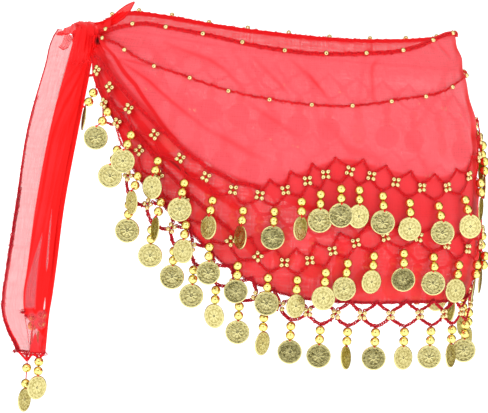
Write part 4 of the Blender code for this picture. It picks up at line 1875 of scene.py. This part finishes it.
    def build(self, looks: Looks, trim: Trim) -> list[bpy.types.Object]:
        """Makes the tail and its edging.

        Args:
            looks: the materials.
            trim: makes the chains.
        Returns:
            The cloth and the edging.
        """
        across, down = np.meshgrid(
            np.linspace(0, 1, self.columns), np.linspace(0, 1, self.rows)
        )
        level = self.top + (self.bottom - self.top) * down
        left, fold, right = (TAIL[name](level) for name in ("left", "fold", "right"))
        x, y, distance = self.section(across, left, fold, right)
        ripple = 0.5 * np.sin(distance * 0.55 + level * 0.02) * np.sin(level * 0.045)
        ripple += 0.35 * np.sin(distance * 1.3 - level * 0.035)
        below_knot = np.sin(np.pi * np.clip(down * 6, 0, 0.5))
        y = y + self.back + TAIL["bend"](level) + ripple * 0.8 * below_knot
        shoulder = 5.0 * (1 - ease(x, -180, -174)) * ease(x, -198, -191)
        top = np.maximum(knot_underside(x, y), -12.0) + shoulder
        z = top + (self.bottom - top) * down
        points = np.stack((x, y, z), -1)
        sheet = Builder()
        faces = grid_faces(self.columns, self.rows)
        layers = self.layers(x, z, distance, across)
        sheet.add(points.reshape(-1, 3), faces, value=layers.ravel())
        cut = np.stack((distance, level), -1).reshape(-1, 2)
        cloth = sheet.build("tail_long_chiffon", looks.tail, "layers", cut)
        settle(cloth, Slot.CHIFFON, "tail_long")
        edging = self.edging(trim, points).build("tail_long_edging", looks.deep_thread)
        settle(edging, Slot.CROCHET, "tail_long")
        return [cloth, edging]


@dataclass(frozen=True)
class KnotFold:
    """A fold of cloth over the knot: its layers, and rows of places it runs smoothly through. One of
    them is no cloth but a small sheet of painted shade for the knot's hollow.
    """

    layers: float
    fades: bool
    places: tuple


KNOT_FOLDS = (
    KnotFold(
        2.0,
        True,
        (
            ((-176, 2, 2.2), (-170, 2, 3.6), (-164, 1, 3.6), (-157.5, 0, 2.2)),
            ((-173.5, -11, -2), (-169, -14, -0.5), (-163.5, -15, -0.5), (-157, -13, -2)),
            ((-174.5, -17, -9), (-170, -20.5, -9), (-163.5, -20.5, -9), (-157, -17, -9)),
            ((-176.5, -14, -20), (-171.5, -16.5, -20), (-164.5, -16.5, -20), (-157.6, -14, -20)),
            ((-178.8, -7.5, -31), (-172.5, -8.5, -31), (-165.5, -8.5, -31), (-158.6, -7.5, -31)),
            ((-182.6, -5, -53), (-175.5, -5.4, -53), (-168.5, -5.4, -53), (-161, -5, -53)),
        ),
    ),
    KnotFold(
        1.5,
        False,
        (
            ((-190.5, 1, -8), (-185, 0, -4.6), (-178, -1, 0.2), (-170.5, -2, 2.8)),
            ((-190, -3, -8.6), (-184.5, -6, -6), (-178, -9, -3), (-171, -12, -1)),
            ((-188.5, -5, -9), (-183, -9, -8), (-177.5, -13, -6.4), (-172.5, -16, -6)),
        ),
    ),
    KnotFold(
        1.6,
        False,
        (
            ((-174, 2, 3), (-164, 1, 4.2), (-156, -3, 4), (-149, -8, 5.6), (-144, -11, 9)),
            ((-172, -10, 1.6), (-162, -12, 2), (-155, -13, 1.4), (-149, -15, 1.6), (-144, -15, 4)),
            ((-164, -17, -3), (-159, -19, -4), (-154, -18, -4), (-149, -18, -3), (-145, -19, -1)),
            ((-160, -19, -8), (-157, -18, -9), (-153, -16, -10), (-149, -17, -8), (-146, -19, -5)),
        ),
    ),
    # not a fold of cloth: a small sheet with the hollow's count of layers, painted shade in the
    # knot's hollow
    KnotFold(
        9.0,
        True,
        (
            ((-158.5, -19.9, -5.6), (-154.6, -20.4, -5.0), (-149.8, -19.5, -6.4)),
            ((-158.8, -20.2, -10.6), (-154.4, -20.8, -10.4), (-149.4, -20, -11)),
            ((-158.2, -19.6, -17.2), (-154, -20, -17.2), (-149.6, -19.4, -16.4)),
        ),
    ),
    KnotFold(
        2.6,
        True,
        (
            ((-162, -16.5, -13), (-157.5, -17.5, -12.5), (-152, -16.5, -13.5)),
            ((-162.5, -14, -21), (-158, -15, -21), (-153.5, -14, -21)),
            ((-162.5, -10, -32), (-159, -11, -32), (-155.5, -10, -32)),
        ),
    ),
    KnotFold(
        0.4,
        False,
        (
            ((-174, -14, -7), (-178, -12, -7.6), (-183, -8, -8)),
            ((-176.5, -14, -13), (-180, -12, -14), (-184.5, -9, -15)),
            ((-178.5, -12, -18), (-183, -10, -20.5), (-187, -8, -18.5)),
        ),
    ),
)


def smooth_grid(places: tuple, columns: int, rows: int) -> np.ndarray:
    """A grid of points on the smooth surface through rows of places.

    Args:
        places: the rows of places.
        columns: points in a row of the grid.
        rows: the grid's rows.
    Returns:
        The points, rows by columns.
    """
    places = np.array(places, float)
    m, n = places.shape[:2]
    down = np.linspace(0, m - 1, rows)
    across = np.linspace(0, n - 1, columns)
    lines = np.zeros((rows, n, 3))
    for j in range(n):
        for k in range(3):
            lines[:, j, k] = Profile(range(m), places[:, j, k])(down)
    grid = np.zeros((rows, columns, 3))
    for i in range(rows):
        for k in range(3):
            grid[i, :, k] = Profile(range(n), lines[i, :, k])(across)
    return grid


@dataclass
class Knot:
    """The knot: a wound core, with the cloth that falls over it in soft folds."""

    core_grid: tuple = (90, 48)
    fold_grid: tuple = (64, 52)
    flat: tuple = (0.06, 0.095)
    core_share: tuple = (0.76, 0.9, 0.86)
    core_shift: tuple = (3.2, 0, -0.6)
    wound_radius: float = 18.0
    hem_radius: float = 0.3
    shell: Builder = field(default_factory=Builder)
    net: Builder = field(default_factory=Builder)
    cuts: list = field(default_factory=list)

    def core(self) -> None:
        """The wound core, with its pleats."""
        columns, rows = self.core_grid
        around, rise = np.meshgrid(
            np.linspace(0, 2 * math.pi, columns, endpoint=False),
            np.linspace(-0.5 * math.pi + 0.02, 0.5 * math.pi - 0.02, rows),
        )
        away = np.stack(
            (np.cos(rise) * np.cos(around), np.sin(rise), np.cos(rise) * np.sin(around)), -1
        )
        round_axis = np.arctan2(away[..., 2], away[..., 0])
        side = np.hypot(away[..., 0], away[..., 2])
        swirl = round_axis * 7 + 3 * away[..., 1] + 1.2 * np.sin(3 * away[..., 0])
        pleats = (0.5 + 0.5 * np.cos(swirl)) ** 0.7
        size = 0.95 - 0.1 * (1 - pleats) * side
        core = KNOT_HALF_SIZE * np.array(self.core_share)
        points = KNOT_CENTRE + np.array(self.core_shift) + away * core * size[..., None]
        layers = 3.2 + 0.8 * (1 - pleats)
        faces = grid_faces(columns, rows, closed=True)
        self.shell.add(points.reshape(-1, 3), faces, value=layers.ravel())
        wound = np.stack((around, rise), -1) * self.wound_radius
        self.cuts.append(wound.reshape(-1, 2))

    def fold(self, number: int, fold: KnotFold, trim: Trim) -> None:
        """A fold over the core.

        Args:
            number: its place in the table.
            fold: its form.
            trim: makes its hem.
        """
        columns, rows = self.fold_grid
        across, down = np.meshgrid(np.linspace(0, 1, columns), np.linspace(0, 1, rows))
        grid = smooth_grid(fold.places, columns, rows)
        normal = unit(np.cross(np.gradient(grid, axis=1), np.gradient(grid, axis=0)))
        creases = np.sin(across * (17 + 5 * number) + 2.5 * down + number)
        creases = creases + 0.5 * np.sin(across * 41 - 3 * down)
        fade = np.sin(np.pi * np.clip(across, 0.03, 0.97)) ** 0.5
        grid = grid + normal * (0.5 * creases * fade)[..., None]
        layers = fold.layers * (1 + 0.3 * np.clip(-creases, 0, 1))
        if fold.layers > HOLLOW_SHADE_LAYERS:
            # this fold stands for a shaded hollow, darkest in its middle
            middle = np.sin(np.pi * across) * np.sin(np.pi * down)
            layers = fold.layers * (0.35 + 0.65 * middle) * ease(middle, 0, 0.25)
        elif fold.fades:
            layers = layers * (1 - ease(down, 0.55, 1.0)) ** 2
        else:
            layers = layers + 1.5 * (down > 0.97) + 0.8 * (across < 0.02)
        self.shell.add(grid.reshape(-1, 3), grid_faces(columns, rows), value=layers.ravel())
        self.cuts.append(grid.reshape(-1, 3)[:, (0, 2)])
        if not fold.fades:
            trim.hem(self.net, grid[-1], self.hem_radius)

    def build(self, looks: Looks, trim: Trim) -> list[bpy.types.Object]:
        """Makes the knot and its hems.

        Args:
            looks: the materials.
            trim: makes the hems.
        Returns:
            The cloth and the hems.
        """
        self.core()
        for number, fold in enumerate(KNOT_FOLDS):
            self.fold(number, fold, trim)
        cut = np.concatenate(self.cuts)
        cloth = self.shell.build("knot_chiffon", looks.knot, "layers", cut)
        settle(cloth, Slot.CHIFFON, "knot")
        hems = self.net.build("knot_hems", looks.thread)
        settle(hems, Slot.CROCHET, "knot")
        return [cloth, hems]


@dataclass
class Ear:
    """The short end: a folded leaf of cloth that stands up and away from the knot."""

    columns: int = 41
    rows: int = 70
    flat: tuple = (0.0105, 0.038)
    start: tuple = (-156.3, -5.5, 1.3)
    tip: tuple = (-125.3, -14.0, 24.5)
    fold_depth: float = 2.4
    bow: float = 3.6
    hem_radius: float = 0.4

    def build(self, looks: Looks, trim: Trim) -> list[bpy.types.Object]:
        """Makes the ear and its hems.

        Args:
            looks: the materials.
            trim: makes the hems.
        Returns:
            The cloth and the hems.
        """
        across, down = np.meshgrid(
            np.linspace(0, 1, self.columns), np.linspace(0, 1, self.rows)
        )
        along = np.array(self.tip) - np.array(self.start)
        across_way = unit((-along[2], 0, along[0]))
        fold_way = unit(np.cross(along, across_way))
        width = EAR_WIDTH["width"](down)
        side = across - 0.5
        fold = self.fold_depth * (1 - down) * np.abs(side) * 2
        fold = fold + 0.35 * np.sin(across * 16 + down * 3)
        bow = self.bow * np.sin(np.pi * down**0.75)
        points = np.array(self.start) + along * down[..., None]
        points = points + across_way * (side * width - bow)[..., None]
        points = points + fold_way * fold[..., None]
        layers = 2.2 + 0.9 * (1 - down) + 1.6 * (np.abs(side) > 0.46)
        strip = Builder()
        faces = grid_faces(self.columns, self.rows)
        strip.add(points.reshape(-1, 3), faces, value=layers.ravel())
        cut = np.stack((side * width * 2, down * 40), -1).reshape(-1, 2)
        cloth = strip.build("tail_short_chiffon", looks.tail, "layers", cut)
        settle(cloth, Slot.CHIFFON, "tail_short")
        net = Builder()
        trim.hem(net, points[:, 0], self.hem_radius)
        trim.hem(net, points[:, -1], self.hem_radius)
        hems = net.build("tail_short_hems", looks.thread)
        settle(hems, Slot.CROCHET, "tail_short")
        return [cloth, hems]


@dataclass
class Edging:
    """A chain along the wrap, with small beads: the crocheted top edge or the bead line."""

    kind: str
    column: str
    below: float
    out: float
    scale: float
    stretch: Stretch
    start: float
    end: float
    doubled: bool = False
    bead_rise: float = 0.0

    def build(self, looks: Looks, trim: Trim) -> list[bpy.types.Object]:
        """Makes the chain and its beads, in place of their solid.

        Args:
            looks: the materials.
            trim: makes the chain.
        Returns:
            The chain and the beads.
        """
        angle = np.linspace(self.start, self.end, 400)
        height = LEVEL[self.column](angle) - self.below
        wobble = 0.25 * np.sin(angle * 1.7) + 0.2 * np.sin(angle * 4.1 + 1)
        path = ring_point(angle, height + wobble, self.out)
        normal = ring_normal(angle, height)
        net = Builder()
        gilt = Builder()
        trim.chain(net, path, normal, self.scale)
        if self.doubled:
            under = ring_point(angle, height + wobble - 1.1, self.out - 0.5)
            trim.chain(net, under, normal, 0.8)
        along = lengths_along(path)
        for place in np.arange(EDGE_BEAD_PITCH / 2, along[-1], EDGE_BEAD_PITCH):
            i = int(np.searchsorted(along, place))
            x_axis = unit(np.cross(ABOVE, normal[i]))
            axes = (x_axis, np.cross(normal[i], x_axis), normal[i])
            centre = path[i] + normal[i] * 0.9 + ABOVE * self.bead_rise
            gilt.place(trim.small, centre, axes)
        node = f"{self.kind}_{self.stretch.value}"
        chain = net.build(f"{node}_crochet", looks.thread)
        beads = gilt.build(f"{node}_beads", looks.small)
        settle(chain, Slot.CROCHET, node)
        settle(beads, Slot.GILT, node)
        return [chain, beads]


def edgings() -> list[Edging]:
    """Places the chains along the wrap.

    Returns:
        The two edgings of each stretch.
    """
    seam = half_seam()
    spans = (
        (Stretch.FRONT, CLOTH_START + 1, CLOTH_SPLIT - seam),
        (Stretch.BACK, CLOTH_SPLIT + seam, CLOTH_END - 1),
    )
    made = []
    for span in spans:
        # the far rim's beads have rolled up onto its edge
        rise = 1.7 if span[0] is Stretch.BACK else 0.0
        made.append(
            Edging("top_chain", "top", 1.1, 1.6, 1.0, *span, doubled=True, bead_rise=rise)
        )
        made.append(Edging("bead_line", "bead_line", 0.0, 1.1, 0.8, *span))
    return made


@dataclass(frozen=True)
class TailDrop:
    """A drop at the tail's end.

    turn is the coin's, in degrees. longer is how much the thread adds, apart how much
    further apart its two beads are.
    """

    across: float
    turn: float
    bead_out: float
    coin_out: float
    longer: float
    apart: float


@dataclass(frozen=True)
class TailTrim:
    """A strip at the tail's end, with its drops."""

    name: str
    depth: float
    height: float
    left: float
    right: float
    outwards: tuple
    chains: tuple
    gathers: tuple
    drops: tuple

    def hang(self, drop: TailDrop) -> Place:
        """Finds where a drop's parts hang.

        Args:
            drop: the drop.
        Returns:
            What gives its middle at a depth below its root and a swing.
        """
        start = np.array((drop.across, self.depth, self.height - 2.0))
        out = np.array(self.outwards, float)

        def place(below: float, swing: float) -> np.ndarray:
            """The middle of the drop.

            Args:
                below: the depth below its root.
                swing: 0 as far out as the first bead, 1 as far out as the coin.
            Returns:
                The point.
            """
            reach = drop.bead_out + (drop.coin_out - drop.bead_out) * swing
            share = float(ease(below, 0, 3))
            down = below + drop.longer * share + drop.apart * min(swing / SECOND_BEAD_SWING, 1)
            return start + out * reach * share - ABOVE * down

        return place

    def build(self, looks: Looks, trim: Trim) -> list[bpy.types.Object]:
        """Makes the strip and its drops, in place of their solid.

        Args:
            looks: the materials.
            trim: makes the chains and drops.
        Returns:
            The net, the beads and the coins.
        """
        net = Builder()
        gilt = Builder()
        coins = Builder()
        out = np.array(self.outwards, float)
        for level in self.chains:
            x = np.linspace(self.left, self.right, 20)
            y = np.full_like(x, self.depth)
            path = np.stack((x, y, np.full_like(x, self.height + level)), -1)
            trim.chain(net, path, out, 0.8)
        for first, last in self.gathers:
            start = np.array((first[0], self.depth, first[1]))
            trim.cord(net, start, np.array((last[0], self.depth, last[1])), 1.1)
        for drop in self.drops:
            trim.drop(net, gilt, coins, self.hang(drop), out, drop.turn)
        strip = net.build(f"{self.name}_net", looks.thread)
        beads = gilt.build(f"{self.name}_beads", looks.bead)
        stamped = coins.build(f"{self.name}_coins", looks.coin)
        settle(strip, Slot.CROCHET, self.name)
        settle(beads, Slot.GILT, self.name)
        settle(stamped, Slot.GILT, self.name)
        return [strip, beads, stamped]


TAIL_TRIMS = (
    TailTrim(
        name="tail_drops",
        depth=-2.0,
        height=TAIL_BOTTOM - 0.6,
        left=-200,
        right=-182,
        outwards=(0, -1, 0),
        chains=(0.5, -0.6),
        gathers=(
            ((-203.2, -280.4), (-195.6, -287.6)),
            ((-191.5, -281.0), (-195.4, -287.2)),
            ((-196.5, -281.4), (-195.5, -287.4)),
            ((-190.2, -281.4), (-186.2, -284.6)),
            ((-182.2, -280.6), (-185.2, -284.8)),
        ),
        drops=(TailDrop(-195.5, -60, 0, 0, 5, 5.5), TailDrop(-185.6, -40, 0, 4.8, -1, 0)),
    ),
    TailTrim(
        name="tail_inner_drops",
        depth=8.2,
        height=-244.0,
        left=-198,
        right=-181,
        outwards=(0, 1, 0),
        chains=(-0.6, -1.9),
        gathers=(),
        drops=(TailDrop(-193.5, 85, 3.2, 12, 0, 0), TailDrop(-185.8, 70, 3.2, 12, -3, 0)),
    ),
)


@dataclass
class Studio:
    """The floor, the light and the camera, in metres but for the lens, in millimetres."""

    target: Vector = field(default_factory=lambda: Vector((-20.65, 0.0, -143.65)) * MM)
    distance: float = 10.0
    tilt: float = math.radians(4.0)
    roll: float = math.radians(4.0)
    lens: float = 867.7
    floor_depth: float = 0.95
    floor_size: float = 60.0

    def camera(self) -> None:
        """A long lens at the photograph's angle, with its slight roll."""
        right = Vector((1, 0, 0))
        up = Vector((0, math.sin(self.tilt), math.cos(self.tilt)))
        back = Vector((0, -math.cos(self.tilt), math.sin(self.tilt)))
        rolled = right * math.cos(self.roll) + up * math.sin(self.roll)
        above = up * math.cos(self.roll) - right * math.sin(self.roll)
        data = bpy.data.cameras.new("camera")
        data.lens = self.lens
        data.sensor_width = 36.0
        data.clip_end = 100.0
        obj = bpy.data.objects.new("camera", data)
        turn = Matrix((rolled, above, back)).transposed()
        obj.matrix_world = Matrix.Translation(self.target + back * self.distance) @ turn.to_4x4()
        bpy.context.scene.collection.objects.link(obj)
        bpy.context.scene.camera = obj

    def floor(self) -> None:
        """A plain pale floor, as far below as under a standing wearer."""
        place = (0, 0, -self.floor_depth)
        bpy.ops.mesh.primitive_plane_add(size=self.floor_size, location=place)
        obj = bpy.context.object
        obj.name = "floor"
        # matt white wall paint, rolled on, lit a little of itself so no shadow darkens it
        material, tree = new_material("floor_paint")
        output = add_node(tree, "ShaderNodeOutputMaterial")
        shader = add_node(
            tree,
            "ShaderNodeBsdfPrincipled",
            None,
            {
                "Base Color": linear("FFFFFF"),
                "Roughness": 0.9,
                "Emission Color": linear("FFFFFF"),
                "Emission Strength": 0.45,
            },
        )
        tree.links.new(shader.outputs[0], output.inputs[0])
        obj.data.materials.append(material)

    def light(self, name: str, place: tuple, size: float, power: float) -> None:
        """A soft square lamp that looks at the scarf.

        Args:
            name: the lamp's name.
            place: where it is.
            size: its side.
            power: its watts.
        """
        data = bpy.data.lights.new(name, "AREA")
        data.size = size
        data.energy = power
        obj = bpy.data.objects.new(name, data)
        obj.location = place
        way = self.target - Vector(place)
        obj.rotation_euler = way.to_track_quat("-Z", "Y").to_euler()
        bpy.context.scene.collection.objects.link(obj)

    def world(self) -> None:
        """White to the eye. Gloss sees a tent with a dark opening at the front."""
        world = bpy.data.worlds.new("tent")
        bpy.context.scene.world = world
        world.use_nodes = True
        tree = world.node_tree
        tree.nodes.clear()
        way = add_node(tree, "ShaderNodeTexCoord").outputs["Generated"]
        towards = add_node(
            tree,
            "ShaderNodeVectorMath",
            {"operation": "DOT_PRODUCT"},
            {0: way, 1: (0.0, 1.0, 0.0)},
        ).outputs["Value"]
        above_zero = add_node(
            tree, "ShaderNodeMath", {"operation": "ADD"}, {0: towards, 1: 1.0}
        ).outputs[0]
        share = add_node(
            tree, "ShaderNodeMath", {"operation": "MULTIPLY"}, {0: above_zero, 1: 0.5}
        ).outputs[0]
        ramp = add_node(tree, "ShaderNodeValToRGB", None, {"Fac": share})
        stops = (
            (0.0, "1C260C"),
            (0.022, "1C260C"),
            (0.042, "FFFFFF"),
            (0.45, "FFFCF0"),
            (0.6, "D8C08C"),
            (0.74, "6E4420"),
            (1.0, "2A180C"),
        )
        ramp.color_ramp.elements[0].position = stops[0][0]
        ramp.color_ramp.elements[0].color = linear(stops[0][1])
        ramp.color_ramp.elements[1].position = stops[-1][0]
        ramp.color_ramp.elements[1].color = linear(stops[-1][1])
        for position, colour in stops[1:-1]:
            ramp.color_ramp.elements.new(position).color = linear(colour)
        tent = add_node(
            tree, "ShaderNodeBackground", None, {"Color": ramp.outputs[0], "Strength": 1.05}
        )
        plain = add_node(
            tree, "ShaderNodeBackground", None, {"Color": (1, 1, 1, 1), "Strength": 1.0}
        )
        seen = add_node(tree, "ShaderNodeLightPath").outputs["Is Glossy Ray"]
        both = add_node(
            tree,
            "ShaderNodeMixShader",
            None,
            {0: seen, 1: plain.outputs[0], 2: tent.outputs[0]},
        )
        output = add_node(tree, "ShaderNodeOutputWorld")
        tree.links.new(both.outputs[0], output.inputs[0])

    def build(self) -> None:
        """Sets up the whole studio."""
        self.camera()
        self.floor()
        self.world()
        self.light("key", (-1.2, -2.2, 1.6), 1.4, 11.0)
        self.light("fill", (1.6, -1.8, 0.6), 1.6, 5.0)
        self.light("rear", (0.4, 2.2, 1.2), 1.8, 9.0)
        bpy.context.scene.view_settings.view_transform = "Standard"


def report(pieces: list[bpy.types.Object]) -> None:
    """Logs each piece with its number of faces."""
    for piece in pieces:
        LOG.info("%s: %d faces", piece.name, len(piece.data.polygons))


def main() -> None:
    """Loads the frame and dresses it, a sub-assembly at a time."""
    logging.basicConfig(level=logging.INFO)
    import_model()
    looks = Looks()
    trim = Trim()
    seam = half_seam()
    front = Cloth(Stretch.FRONT, CLOTH_START, CLOTH_SPLIT - seam, 350, 145, 0.0761)
    back = Cloth(Stretch.BACK, CLOTH_SPLIT + seam, CLOTH_END, 260, 90, 0.0576)
    report(front.build(looks))
    report(back.build(looks))
    for row in ROWS:
        report(NetRow.front(row, trim).build(looks))
        report(NetRow.back(row, trim).build(looks))
    for part in (*edgings(), Tail(), Knot(), Ear(), *TAIL_TRIMS):
        report(part.build(looks, trim))
    Studio().build()


if __name__ == "__main__":
    main()
